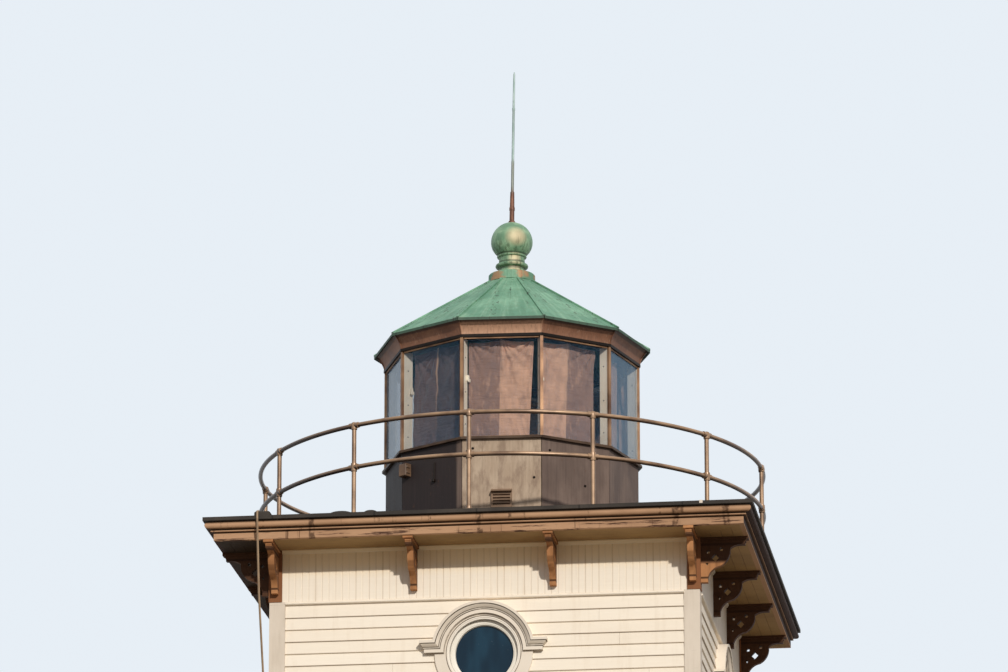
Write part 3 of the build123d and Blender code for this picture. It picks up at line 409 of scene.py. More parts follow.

# %% [markdown]
# ## The clapboards' paint
# Each board took the paint and the weather a little differently. The board's number is its height
# divided by the height that shows of one board, and that number picks a tone for the whole board. The
# part of the sum after the point says how far down a board a spot is, so a line of painted shade can
# sit under its lower edge. The frieze has the same paint, with a dark line in each of its joints that
# is painted darker where the eaves' shadow falls, and under the front eaves a yellow tint of painted
# warm light bounced from the soffit.

# %% Paint for the clapboards
WALL_FACE = 1.875
SIDING_TOP = 13.304
DRIP_BOTTOM = 13.314
SIDING_BOTTOM = 0.402
EXPOSURE = 0.1085  # height that shows of one clapboard
FRIEZE_BOTTOM = 13.34
FRIEZE_HALF_RUN = 1.79
BEAD_BOARDS = 60
BEAD_PITCH = 2 * FRIEZE_HALF_RUN / BEAD_BOARDS
BED_BOTTOM = 13.773  # underside of the bed mould over the frieze


def board_paint():
    coat = Finish("board_paint")
    up = coat.part("Z")
    count = (SIDING_TOP - up) / EXPOSURE
    on_siding = coat.fade(up, SIDING_TOP + 0.006, SIDING_TOP - 0.001)
    # painted shade: a dark line under the lower edge of each clapboard
    butt = coat.fade(coat.maths("FRACT", count), 0.94, 0.985) * on_siding
    runs = coat.blots(0.06, 0.5, 0.8, (1, 1, 10))
    fibre = coat.cloud(0.01, (14, 14, 1), 4, 0.6)
    chips = coat.blots(0.05, 0.74, 0.77, (5, 5, 1), 8, 0.7)
    beads = coat.aside() / BEAD_PITCH + 0.5
    near_joint = coat.fade(coat.size_of(coat.maths("FRACT", beads) - 0.5), 0.13, 0.08)
    over_drip = coat.fade(up, FRIEZE_BOTTOM - 0.002, FRIEZE_BOTTOM + 0.002)
    under_bed = coat.fade(up, BED_BOTTOM + 0.001, BED_BOTTOM - 0.003)
    open_joint = 0.03 + 0.2 * coat.chance(coat.maths("FLOOR", beads))
    # the frieze's joints are dark, and painted darker still as shade where the eaves' shadow falls
    joints = near_joint * over_drip * under_bed * open_joint * (1 + coat.fade(up, 13.54, 13.64))
    # painted warm light: a yellow tint on the front of the frieze under the eaves
    warm_bounce = coat.fade(up, 13.52, 13.70) * coat.fade(coat.facing("Y"), -0.5, -0.9)
    colour = coat.layers(
        (253, 243, 227),
        (coat.chance(coat.maths("FLOOR", count)) * 0.3, (243, 229, 209)),
        (coat.blots(1.3, 0.4, 0.72, (1, 1, 0.6)) * 0.16 + runs * 0.25, (220, 202, 178)),
        (fibre * 0.16, (206, 188, 164)),
        (chips * 0.5, (176, 152, 124)),
        (joints, (136, 102, 66)),
        (warm_bounce * 0.6, (255, 222, 160)),
        (butt * 0.55, (132, 106, 78)),
    )
    return coat.dress(colour, 0.6 + 0.2 * fibre, fibre * 0.3 - chips * 0.5, PAINT_DEPTH)


board_coat = board_paint()

# %% [markdown]
# ## The soffit, the roofing and the stone
# The underside of the eaves is tan-painted boarding, so it has a joint every few centimetres, and its
# left side is painted near black as shade. The gallery's deck is black roofing with grit in it, laid in
# strips.
# The foundation and the steps are stone: courses of blocks with mortar between, drawn by a brick
# pattern that is turned to each face.

# %% Soffit boards
SOFFIT_BOARD = 0.1
SHADE_EDGE = -1.86


def soffit_boards():
    coat = Finish("soffit_paint")
    x, y = coat.part("X"), coat.part("Y")
    outwards = coat.maths("MAXIMUM", coat.size_of(x), coat.size_of(y))
    groove = 1 - coat.fade(coat.maths("FRACT", outwards / SOFFIT_BOARD), 0.0, 0.07)
    fibre = coat.cloud(0.02, (4, 4, 1), 4, 0.6)
    colour = coat.layers(
        (176, 144, 100),
        (coat.blots(0.5, 0.4, 0.75) * 0.6, (128, 100, 66)),
        (fibre * 0.3, (112, 84, 54)),
        # painted shade: the soffit on the tower's left is painted near black
        (coat.fade(x, SHADE_EDGE + 0.02, SHADE_EDGE - 0.02) * 0.94, (32, 21, 16)),
        (groove * 0.4, (38, 28, 22)),
    )
    return coat.dress(colour, 0.7, fibre * 0.3 - groove, 0.003, Specular_IOR_Level=0.12)


# %% Roofing
ROOFING_STRIP = 0.9


def grit_roofing():
    coat = Finish("grit_roofing")
    grit = coat.cloud(0.004, detail=2)
    lap = 1 - coat.fade(coat.maths("FRACT", coat.part("X") / ROOFING_STRIP), 0.0, 0.02)
    colour = coat.layers(
        (38, 36, 36),
        (coat.blots(0.6, 0.42, 0.7, detail=6) * 0.6, (80, 72, 65)),
        (grit * 0.25, (124, 114, 102)),
        (lap * 0.7, (24, 24, 26)),
    )
    return coat.dress(colour, 0.85, grit * 0.4 - lap, 0.003, Specular_IOR_Level=0.25)


# %% Stone
def coursed_stone():
    coat = Finish("coursed_stone")
    x, y, height = coat.parts()
    steep = coat.size_of(coat.facing("X")) > 0.6
    flat = coat.size_of(coat.facing("Z")) > 0.6
    across = x * (1 - steep) + y * steep
    up = height * (1 - flat) + y * flat
    sizes = {
        "Vector": coat.node("ShaderNodeCombineXYZ", None, {0: across, 1: up}),
        "Scale": 1,
        "Mortar Size": 0.006,
        "Mortar Smooth": 0.3,
        "Brick Width": 0.46,
        "Row Height": 0.1333,
        "Color1": tint(150, 142, 130),
        "Color2": tint(120, 114, 106),
        "Mortar": tint(176, 168, 154),
    }
    blocks = coat.node("ShaderNodeTexBrick", {"offset": 0.5}, sizes, "Color")
    joint = coat.node("ShaderNodeTexBrick", {"offset": 0.5}, sizes, "Fac")
    speckle = coat.cloud(0.006, detail=3)
    moss = coat.blots(0.3, 0.5, 0.72, detail=6) * coat.fade(height, 0.5, 0.05)
    colour = coat.layers(blocks, (speckle * 0.4, (92, 88, 84)), (moss * 0.5, (96, 98, 74)))
    pitted = speckle * 0.3 + coat.cloud(0.05, detail=5) * 0.7 - joint
    return coat.dress(colour, 0.88, pitted, 0.008)


soffit_paint = soffit_boards()
roofing = grit_roofing()
stone = coursed_stone()

# %% [markdown]
# ## Copper, old and green
# The lantern's roof and ball are copper sheet that has turned green, while the coved band under the
# eave, kept dry by it, is still brown. Both are the same metal, so both have dents and dull stains.
# The green is a crust, so it is hardly metallic, and bare brown metal shows where it has rubbed off.

# %% Green copper
EAVE = 16.10
FLANGE_BOTTOM = 16.76
NECK_FOOT = 16.864
COLLARS = (16.892, 16.956, 17.03)


def green_copper():
    coat = Finish("green_copper")
    x, y, height = coat.parts()
    level = coat.node("ShaderNodeCombineXYZ", None, {0: x, 1: y})
    way = coat.vector("NORMALIZE", {0: level})
    out = coat.vector("LENGTH", {0: level}, "Value")

    def down_slope(fine, along, detail):
        """Noise drawn out down the roof's slope, as rain runs."""
        wide = coat.vector("SCALE", {0: way, "Scale": fine})
        lift = coat.node("ShaderNodeCombineXYZ", None, {2: out * along})
        spot = coat.vector("ADD", {0: wide, 1: lift})
        values = {"Vector": spot, "Scale": 1, "Detail": detail, "Roughness": 0.65}
        return coat.node("ShaderNodeTexNoise", None, values, "Fac")

    wide = coat.cloud(0.3, detail=6)
    streaks = down_slope(22, 2.2, 7)
    dashes = coat.fade(down_slope(34, 17, 3), 0.57, 0.62) * coat.fade(down_slope(7, 1.6, 2), 0.48, 0.56)
    on_flange = coat.fade(height, FLANGE_BOTTOM - 0.005, FLANGE_BOTTOM + 0.005)
    rubbed_and_light_patches = on_flange * coat.fade(height, NECK_FOOT + 0.001, NECK_FOOT - 0.029)
    bare = rubbed_and_light_patches * coat.blots(0.14, 0.44, 0.58, detail=7)
    # painted shade: the roof's edge at the eave is darker where it does not face up
    edge = coat.fade(coat.facing("Z"), 0.3, 0.1) * coat.fade(height, EAVE + 0.02, EAVE - 0.01)
    roof = coat.layers(
        (98, 148, 120),
        (coat.fade(wide, 0.35, 0.68), (134, 182, 152)),
        (coat.fade(streaks, 0.50, 0.68) * 0.4, (166, 200, 172)),
        (coat.fade(streaks, 0.50, 0.32) * 0.5, (82, 126, 102)),
        (coat.blots(0.045, 0.42, 0.68, detail=8, rough=0.72) * 0.35, (104, 126, 96)),
        (dashes * 0.85, (44, 40, 28)),
        (bare * 0.8, (186, 134, 98)),
        (edge * 0.85, (40, 54, 42)),
    )
    # painted highlight: a warm pale patch where the ball, neck and collars face front and a little right
    highlight_facing = coat.facing("X") * 0.36 - coat.facing("Y") * 0.93 + coat.facing("Z") * 0.04
    ball_runs = coat.blots(0.026, 0.46, 0.66, (1, 1, 8), 6) * coat.fade(height, 17.22, 17.06)
    collars = sum(coat.line(height, collar, 0.012) for collar in COLLARS)
    finial = coat.layers(
        (112, 150, 118),
        (coat.blots(0.1, 0.4, 0.66, detail=6), (152, 186, 150)),
        (coat.fade(highlight_facing, 0.78, 1.03) * 0.62, (240, 206, 166)),
        (ball_runs * 0.65, (54, 66, 40)),
        (collars * 0.6, (44, 50, 34)),
    )
    above = coat.fade(height, NECK_FOOT - 0.002, NECK_FOOT + 0.002)
    dents = coat.cloud(0.14, detail=2) * 0.8 + streaks * 0.15
    rough = 0.55 + 0.2 * wide - 0.14 * above
    return coat.dress(coat.mix(above, roof, finial), rough, dents, 0.012, bare * 0.5 + 0.12 * above)


# %% Brown copper
LANTERN_TURN = 2.7  # degrees that the front facet is turned to the right
FACET = 36  # degrees from one facet to the next
COVE_TOP = 16.082


def across_facet(coat):
    """How far a spot lies out towards the front facet, and how far to either side of its middle."""
    turn = radians(LANTERN_TURN - 90)
    x, y = coat.part("X"), coat.part("Y")
    return x * cos(turn) + y * sin(turn), coat.size_of(y * cos(turn) - x * sin(turn))


def brown_copper():
    coat = Finish("brown_copper")
    ahead, beside = across_facet(coat)
    wide = coat.cloud(0.25, detail=6)
    runs = coat.blots(0.02, 0.42, 0.72, (1, 1, 12), 6, 0.65)
    colour = coat.layers(
        (116, 76, 54),
        (coat.fade(wide, 0.35, 0.68), (150, 106, 80)),
        (coat.fade(ahead * 0.325 - beside, 0, 0.004) * 0.8, (202, 158, 128)),
        (runs * 0.4, (84, 56, 44)),
        (coat.blots(0.014, 0.60, 0.70, (1, 1, 16), 5, 0.6) * 0.35, (206, 178, 152)),
        (coat.blots(0.05, 0.62, 0.72, detail=8, rough=0.7) * 0.3, (98, 112, 92)),
        # painted shade: a dark band along the top of the cove, under the eave
        (coat.line(coat.part("Z"), COVE_TOP, 0.026) * 0.7, (30, 24, 18)),
    )
    return coat.dress(colour, 0.42 + 0.25 * wide, wide * 0.6 + runs * 0.2, 0.006, 0.25)


patina = green_copper()
copper = brown_copper()

# %% [markdown]
# ## The lantern's lower wall
# Ten iron plates stand under the glass. Nine are dark brown with purple in it, and those on the left
# are painted darker still as shade. The plate that faces the front has been bleached to a sandy grey,
# with streaks that run down from the sill. It is picked out by its place, at the front and a little to
# the right.

# %% Stained iron plates
def stained_plates():
    coat = Finish("stained_plates")
    ahead, beside = across_facet(coat)
    front = coat.fade(ahead, 1.02, 1.06) * (1 - coat.fade(beside, 0.352, 0.358))
    wide = coat.cloud(0.22, (1, 1, 2), 6)
    worn = coat.fade(wide, 0.35, 0.7)
    streaks = coat.blots(0.022, 0.38, 0.74, (1, 1, 24), 6, 0.65)
    rust = coat.blots(0.05, 0.60, 0.72, (1, 1, 3), 8, 0.7)
    # painted shade: the plates on the left are painted darker
    left_shade = coat.fade(coat.part("X"), -0.34, -0.37)
    blotch = coat.blots(0.07, 0.42, 0.66, (1, 1, 2.5), 7, 0.68)
    brown = coat.layers(
        (104, 88, 80),
        (worn, (128, 110, 100)),
        (left_shade * 0.92, (34, 29, 31)),
        (streaks * 0.35, (62, 50, 50)),
    )
    sandy = coat.layers(
        (176, 154, 132),
        (worn, (196, 176, 154)),
        (blotch * 0.6, (132, 110, 94)),
        (streaks * 0.3, (118, 98, 84)),
    )
    colour = coat.mix(rust * 0.45, coat.mix(front, brown, sandy), (104, 66, 44))
    return coat.dress(colour, 0.5 + 0.25 * wide, wide * 0.5 + rust * 0.4, 0.004, Specular_IOR_Level=0.2)


plates = stained_plates()

# %% [markdown]
# ## Painted metal
# Rails, glazing bars and small fittings are iron under paint. Rust breaks through in spots and runs,
# and it is rougher than the paint round it. Rails and cable have painted shade on undersides and on
# faces that look left.

# %% Paint over iron
def painted_iron(name, clean, dirty, rust_share=0.4, rough=0.45, metallic=0, underside_shade=0, gloss=0.3):
    coat = Finish(name)
    least = 0.72 - 0.2 * rust_share
    spots = coat.blots(0.02, least, least + 0.06, (1, 1, 1.6), 8, 0.7)
    colour = coat.layers(clean, (coat.blots(0.3, 0.35, 0.7), dirty), (spots * 0.7, (94, 62, 42)))
    if underside_shade:
        # painted shade on undersides and on faces that look left
        shaded_faces = coat.fade(coat.facing("Z"), 0.1, -0.7) + coat.fade(coat.facing("X"), -0.1, -0.9) * 0.9
        colour = coat.mix(shaded_faces * underside_shade, colour, (52, 36, 28))
    relief = spots * 0.5 + coat.cloud(0.01) * 0.3
    return coat.dress(colour, rough + 0.3 * spots, relief, 0.001, metallic, Specular_IOR_Level=gloss)


rail_coat = painted_iron("rail_coat", (180, 146, 114), (118, 90, 68), 0.45, 0.32, 0.2, 0.85, 0.45)
cream_metal = painted_iron("cream_metal", (255, 246, 228), (240, 227, 205), 0.02)
fitting_coat = painted_iron("fitting_coat", (136, 108, 84), (98, 76, 60), 0.4)
cable_coat = painted_iron("cable_coat", (196, 170, 140), (158, 130, 102), 0.2, underside_shade=0.4)
dark_bronze = painted_iron("dark_bronze", (36, 27, 22), (24, 20, 18), 0.1, gloss=0.12)
sill_bronze = painted_iron("sill_bronze", (92, 74, 60), (58, 44, 36), 0.1, gloss=0.12)
bar_bronze = painted_iron("bar_bronze", (174, 134, 100), (104, 72, 52), 0.3, 0.35, 0.3)

# %% [markdown]
# ## Glass
# The round windows look into dark rooms, so their glass is painted dark blue for the room behind, with
# a soft shine. The lantern's panes let the cloth behind them show where they are looked through
# squarely, and where they are seen from the side they take on a painted reflection of the sky's blue.
# Dust makes them a little less clear towards the bottom.

# %% Panes
def dark_pane():
    coat = Finish("dark_pane")
    dust = coat.blots(0.010, 0.73, 0.76, detail=2)
    band = coat.blots(0.2, 0.4, 0.66, (1, 1, 3), 2)
    # the dark blue is painted in for the dark room behind the glass
    colour = coat.layers((10, 38, 56), (band, (22, 56, 76)), (dust * 0.5, (150, 160, 170)))
    return coat.dress(colour, 0.12, Specular_IOR_Level=0.25)


def clear_pane():
    coat = Finish("clear_pane")
    dust = coat.blots(0.05, 0.4, 0.8, (1, 1, 4), 6)
    low = coat.fade(coat.part("Z"), 15.3, 15.0)
    # painted reflection: seen from the side, the pane grows less clear and takes on the sky's blue
    grazing = coat.node("ShaderNodeLayerWeight", None, {"Blend": 0.5}, "Facing")
    cover = 0.03 + 0.05 * dust + 0.03 * low + 0.85 * grazing * grazing
    reflection_and_dust = coat.mix(dust * 0.4, (62, 110, 146), (146, 154, 160))
    made = coat.dress(reflection_and_dust, 0.04, Alpha=cover, IOR=1.7, Specular_Tint=(0.5, 0.78, 1, 1))
    made.use_transparent_shadow = True
    return made


room_glass = dark_pane()
lantern_pane = clear_pane()

# %% [markdown]
# ## Cloth for the lantern
# The panes are hung with pinkish-tan cloth that shades the lamp room by day. Its weave is too fine to
# see from the ground, but close by it is a grid of threads. Each curtain has painted light and shade:
# the half that looks to the afternoon sun is painted as lit and the other as shaded, so the pattern
# follows the cloth's own map and not its place. The cloth on the lee side is painted darker all over
# as shade, and each middle fold carries a painted highlight.

# %% Curtain cloth
THREAD_WAVES = 1400


def curtain_weave(name, lit, unlit, ridge):
    coat = Finish(name)
    own = coat.node("ShaderNodeUVMap", {"uv_map": "cloth"})
    across = coat.node("ShaderNodeSeparateXYZ", None, {0: own}, "X")
    down = coat.node("ShaderNodeSeparateXYZ", None, {0: own}, "Y")
    threads = coat.maths("SINE", across * THREAD_WAVES) * coat.maths("SINE", down * THREAD_WAVES)
    # painted light and shade: a lit half and a shaded half, blended into each other in patches
    rubbed_and_light_patches = coat.blots(0.05, 0.52, 0.70, (1, 1, 3))
    lit_half = coat.mix(rubbed_and_light_patches * 0.4, lit, unlit)
    unlit_half = coat.mix(rubbed_and_light_patches * 0.45, unlit, lit)
    wander = across + coat.cloud(0.22, detail=2) * 0.07 - 0.035
    # painted highlight along the middle fold
    fold = coat.line(wander, 0.5, 0.018) * coat.fade(down, 0.0, 0.9)
    hem = coat.fade(down, 0.05, 0.035) + coat.line(down, 0.42, 0.006) * 0.5
    colour = coat.layers(
        coat.mix(coat.fade(across, 0.495, 0.505), unlit_half, lit_half),
        (fold * 0.8, ridge),
        (coat.blots(0.14, 0.40, 0.70, detail=6) * 0.35, (118, 94, 86)),
        (hem * 0.4, (96, 74, 66)),
    )
    puckers = coat.cloud(0.035, (3.5, 3.5, 0.7), 5, 0.6)
    return coat.dress(colour, 0.85, threads * 0.02 + puckers, 0.011, Sheen_Weight=0.25)


cloth = curtain_weave("curtain_weave", (214, 170, 144), (146, 116, 104), (200, 160, 136))
# a copy of the cloth painted darker as shade, for the panes on the lee side
shaded_cloth = curtain_weave("shaded_curtain_weave", (112, 88, 82), (80, 64, 64), (214, 172, 138))

# %% [markdown]
# ## A finish for every carried-over piece
# Each CAD node keeps its shape and gets its finish in its own material slots. A table of names does
# it, so a node that was forgotten is seen at once.

# %% Dress the CAD nodes
finish_of = {
    stone: ["foundation", "door_step"],
    floor_oil: ["ground_floor", "upper_floors", "front_wall", "back_wall", "right_wall", "left_wall"],
    board_coat: ["frieze_boards", "drip_mould", "bed_mould"],
    trim_paint: ["corner_boards", "oculus_casings", "oculus_hoods", "oculus_sashes", "door_frame"],
    block_paint: ["corner_blocks"],
    cornice_paint: ["cornice"],
    bracket_paint: ["front_brackets", "right_brackets", "back_brackets", "left_brackets"],
    soffit_paint: ["soffit"],
    roofing: ["gallery_deck"],
    door_paint: ["door_leaf"],
    room_glass: ["oculus_glass"],
    plates: ["lantern_wall"],
    copper: ["lantern_cove"],
    lantern_pane: ["lantern_glass"],
    bar_bronze: ["lantern_astragals"],
    dark_bronze: ["lantern_head"],
    sill_bronze: ["lantern_sill"],
    cream_metal: ["lantern_mullions"],
    patina: ["lantern_roof", "roof_hips", "finial", "lightning_rod"],
    cloth: ["curtains"],
    rail_coat: ["railing_posts", "top_rail", "mid_rail"],
    fitting_coat: ["wall_vent", "junction_box"],
    cable_coat: ["conductor"],
}
for finish, names in finish_of.items():
    for name in names:
        for number in range(len(nodes[name].material_slots)):
            nodes[name].material_slots[number].material = finish
dressed = {name for names in finish_of.values() for name in names}
print("nodes left undressed:", sorted(set(nodes) - dressed))

# %% [markdown]
# ## The floor's two tones
# A pale floor throws a lot of light up under the eaves, more than grass and sand do. So the floor is
# pale where the camera, glass and metal see it, and darker where it only lights the tower.

# %% Floor paint
def two_toned_floor():
    coat = Finish("floor_paint")
    rays = ("Is Camera Ray", "Is Glossy Ray", "Is Transmission Ray")
    seen = sum(coat.node("ShaderNodeLightPath", output=ray) for ray in rays)
    pale = coat.mix(coat.cloud(1.5) * 0.15, (240, 240, 237), (226, 226, 222))
    return coat.dress(coat.mix(seen, (122, 108, 88), pale), 0.8)


ground_mesh.materials.append(two_toned_floor())


# %% [markdown]
# ## Tools for making pieces
# Small helpers do the work that is done again and again. One finishes a bmesh as an object. Others add
# blocks and pegs, turn a profile as a lathe does, and lay copies of a shape at many places. Sharp
# edges catch the light only if they are a little rounded, so one more eases them.

# %% Helpers
def finished(name, shape, finish, slot, *stands_for):
    """An object at the origin that rides on the tower, its shape already in its place."""
    mesh = bpy.data.meshes.new(name)
    shape.to_mesh(mesh)
    shape.free()
    mesh.materials.append(finish)
    mesh.shade_smooth()
    mesh.set_sharp_from_angle(angle=radians(32))
    made = bpy.data.objects.new(name, mesh)
    bpy.context.scene.collection.objects.link(made)
    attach(made, "root")
    if stands_for:
        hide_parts(*stands_for)
    print("piece:", name, len(mesh.polygons), "faces")
    return made


def add_block(shape, low, high):
    """A box between its lowest and highest corners."""
    corners = bmesh.ops.create_cube(shape, size=1)["verts"]
    bmesh.ops.scale(shape, vec=[b - a for a, b in zip(low, high)], verts=corners)
    bmesh.ops.translate(shape, vec=[(a + b) / 2 for a, b in zip(low, high)], verts=corners)
    return corners


def blocks(*boxes):
    """Boxes in one bmesh, each between its lowest and highest corners."""
    shape = bmesh.new()
    for low, high in boxes:
        add_block(shape, low, high)
    return shape


def from_level(level, *points):
    """A profile whose heights are measured from a level."""
    return [(radius, level + height) for radius, height in points]


def turned(profile, steps=48, angle=tau, closed=False):
    """A profile of (radius, height) points, spun about the upright axis."""
    shape = bmesh.new()
    points = [shape.verts.new((radius, 0, height)) for radius, height in profile]
    pairs = list(zip(points, points[1:] + points[:1]))
    edges = [shape.edges.new(pair) for pair in (pairs if closed else pairs[:-1])]
    whole = angle == tau
    bmesh.ops.spin(
        shape,
        geom=points + edges,
        cent=(0, 0, 0),
        axis=(0, 0, 1),
        angle=angle,
        steps=steps,
        use_merge=whole,
    )
    bmesh.ops.remove_doubles(shape, verts=shape.verts, dist=0.00001)
    if not whole:
        bmesh.ops.holes_fill(shape, edges=shape.edges)
    bmesh.ops.recalc_face_normals(shape, faces=shape.faces)
    return shape


def laid(shape, places):
    """One bmesh with a copy of the shape at each place, which is a matrix."""
    pattern = bpy.data.meshes.new("pattern")
    shape.to_mesh(pattern)
    shape.free()
    whole = bmesh.new()
    for place in places:
        first = len(whole.verts)
        whole.from_mesh(pattern)
        whole.verts.ensure_lookup_table()
        bmesh.ops.transform(whole, matrix=place, verts=whole.verts[first:])
    bpy.data.meshes.remove(pattern)
    return whole


def eased(shape, size):
    """Rounds the shape's sharp edges a little."""
    sharp = [edge for edge in shape.edges if edge.is_manifold and edge.calc_face_angle(0) > 0.5]
    bmesh.ops.bevel(
        shape,
        geom=sharp,
        offset=size,
        segments=1,
        profile=0.5,
        affect="EDGES",
        material=-1,
        clamp_overlap=True,
    )
    return shape


def joined(*shapes):
    """Several shapes in one bmesh."""
    whole = bmesh.new()
    for shape in shapes:
        mesh = bpy.data.meshes.new("pattern")
        shape.to_mesh(mesh)
        shape.free()
        whole.from_mesh(mesh)
        bpy.data.meshes.remove(mesh)
    return whole


def peg(segments, wide, narrow, length, place):
    """A short round peg or a bolt's head in its place."""
    shape = bmesh.new()
    bmesh.ops.create_cone(
        shape,
        cap_ends=True,
        segments=segments,
        radius1=wide,
        radius2=narrow,
        depth=length,
    )
    return laid(shape, [place])


def about(degrees, axis="Z"):
    """A turn about an axis of the tower."""
    return Matrix.Rotation(radians(degrees), 4, axis)


def shifted(x, y, z):
    """A move without a turn."""
    return Matrix.Translation((x, y, z))


def towards(side):
    """Turns what was made for the front to the front, right, back or left, counted from 0."""
    return about(90 * side)


# %% [markdown]
# ## Clapboards
# The walls are covered with thin boards that lap like shingles, so each has a thick lower edge with a
# line of shade under it. A flat wall with painted lines would lose that shade. Each board here is a
# box whose upper outer edge is pushed in to make a wedge. Boards stop at the corner boards, at the
# casings of the round windows and at the door's frame, and where a length runs out, two meet.

# %% Boards on four sides
BOARD_HALF_RUN = 1.759
BOARD_BUTT = 0.0175
BOARD_TIP = 0.005
CASING_RADIUS = 0.434
WINDOW_HEIGHTS = ((5.63, 9.23, TOP_WINDOW), (TOP_WINDOW,), (TOP_WINDOW,), (TOP_WINDOW,))
DOOR_FRAME_HALF = 0.615
DOOR_FRAME_TOP = 2.69


def free_runs(side, low, high):
    """The stretches of one row that no window or door interrupts."""
    gap = 0
    for centre in WINDOW_HEIGHTS[side]:
        away = max(abs(low - centre), abs(high - centre))
        if away < CASING_RADIUS:
            gap = sqrt(CASING_RADIUS**2 - away**2) - 0.004
    if side == 0 and low < DOOR_FRAME_TOP:
        gap = DOOR_FRAME_HALF
    if gap:
        return [(-BOARD_HALF_RUN, -gap), (gap, BOARD_HALF_RUN)]
    return [(-BOARD_HALF_RUN, BOARD_HALF_RUN)]


def clapboards(side):
    shape = bmesh.new()
    rows = int((SIDING_TOP - SIDING_BOTTOM) / EXPOSURE) + 1
    for row in range(rows):
        high = SIDING_TOP - row * EXPOSURE
        low = max(high - EXPOSURE, SIDING_BOTTOM)
        high = DRIP_BOTTOM if row == 0 else high
        for start, end in free_runs(side, low, high):
            meet = 1.5 * sin(row * 2.4 + side)
            lengths = [(start, end)]
            if start + 0.3 < meet < end - 0.3:
                lengths = [(start, meet - 0.0008), (meet + 0.0008, end)]
            for left, right in lengths:
                butt = BOARD_BUTT + 0.0012 * noise.noise((left * 3, row * 1.7, side * 9))
                corners = add_block(shape, (left, -WALL_FACE - butt, low), (right, -WALL_FACE, high))
                tip = [v for v in corners if v.co.y < -WALL_FACE - 0.001 and v.co.z > high - 0.001]
                bmesh.ops.translate(shape, vec=(0, butt - BOARD_TIP, 0), verts=tip)
    return laid(shape, [towards(side)])


for side, where in enumerate(("front", "right", "back", "left")):
    finished(f"clapboards_{where}", clapboards(side), board_coat, "siding")

# %% [markdown]
# ## Beaded boards of the frieze
# Over the drip mould stand narrow upright boards, each with a small bead along one edge. Grooves in
# a bump map would vanish at the corners and in the shade of the eaves, so the boards are real, with
# eased edges, and a narrow strip lies a little back in each joint.

# %% Frieze boards
FRIEZE_FACE = 1.893
FRIEZE_TOP = 13.8049
FRIEZE_JOINT = 0.0065


def beaded_frieze():
    shape = bmesh.new()
    lefts = [-FRIEZE_HALF_RUN + board * BEAD_PITCH for board in range(BEAD_BOARDS)]
    for left in lefts:
        low = (left + 0.001, -FRIEZE_FACE, FRIEZE_BOTTOM)
        add_block(shape, low, (left + BEAD_PITCH - FRIEZE_JOINT, -WALL_FACE, FRIEZE_TOP))
    eased(shape, 0.0015)
    for left in lefts:
        low = (left + BEAD_PITCH - FRIEZE_JOINT, -FRIEZE_FACE + 0.0025, FRIEZE_BOTTOM)
        add_block(shape, low, (left + BEAD_PITCH + 0.001, -WALL_FACE, FRIEZE_TOP))
    return laid(shape, [towards(side) for side in range(4)])


finished("beaded_frieze", beaded_frieze(), board_coat, "siding", "frieze_boards")

# %% [markdown]
# ## Round windows
# A joiner makes the casing, the sash and the hood's arch from curved pieces, and they read as turned
# rings. They are spun here from their true profiles. The hood ends in two level ears, and each ear
# meets the arch on a mitre, so both are cut by the same plane. Made once, they are laid at all six.

# %% Casing and sash
window_places = [
    towards(side) @ shifted(0, 0, height) @ about(90, "X")
    for side, heights in enumerate(WINDOW_HEIGHTS)
    for height in heights
]
# each point: how far it lies from the window's middle and how far it stands out from the wall
casing_points = [
    (0.298, 0), (0.298, 0.022), (0.302, 0.028), (0.312, 0.029), (0.315, 0.034), (0.326, 0.034),
    (0.327, 0.022), (0.332, 0.022), (0.333, 0.034), (0.430, 0.034), (0.434, 0.030), (0.434, 0),
]
sash_points = [
    (0.299, -0.046), (0.299, -0.012), (0.270, -0.012), (0.266, -0.016),
    (0.258, -0.018), (0.254, -0.034), (0.254, -0.046),
]
for name, points, paint in (("casings", casing_points, casing_paint), ("sashes", sash_points, sash_paint)):
    ring = turned(from_level(WALL_FACE, *points), 96, closed=True)
    finished(f"window_{name}", laid(ring, window_places), paint, "cream_trim", f"oculus_{name}")

# %% Hood with its ears
HOOD_WIDTH = 0.110
# each band of the mould: where it starts and ends over the hood's foot, and its reach at both
hood_bands = [
    (0, 0.006, 0.046, 0.046),
    (0.006, 0.036, 0.060, 0.060),
    (0.036, 0.041, 0.044, 0.044),
    (0.041, 0.049, 0.066, 0.068),
    (0.049, 0.053, 0.050, 0.050),
    (0.053, 0.081, 0.070, 0.090),
    (0.081, 0.086, 0.066, 0.066),
    (0.086, HOOD_WIDTH, 0.100, 0.100),
]
hood_profile = [(HOOD_INNER, WALL_FACE)]
for start, end, low_reach, high_reach in hood_bands:
    hood_profile += [(HOOD_INNER + start, WALL_FACE + low_reach), (HOOD_INNER + end, WALL_FACE + high_reach)]
hood_profile.append((HOOD_INNER + HOOD_WIDTH, WALL_FACE))
mitre_top = sqrt((HOOD_INNER + HOOD_WIDTH) ** 2 - HOOD_WIDTH**2)
mitre_normal = Vector((HOOD_WIDTH, HOOD_INNER - mitre_top, 0)).normalized()


def cut(shape, normal, outer):
    """Cuts the shape on the mitre, keeps one side and closes the cut."""
    spot = (HOOD_INNER if normal.x > 0 else -HOOD_INNER, 0, 0)
    everything = shape.verts[:] + shape.edges[:] + shape.faces[:]
    bmesh.ops.bisect_plane(
        shape, geom=everything, plane_co=spot, plane_no=normal, clear_outer=outer, clear_inner=not outer
    )
    bmesh.ops.holes_fill(shape, edges=shape.edges)
    return shape


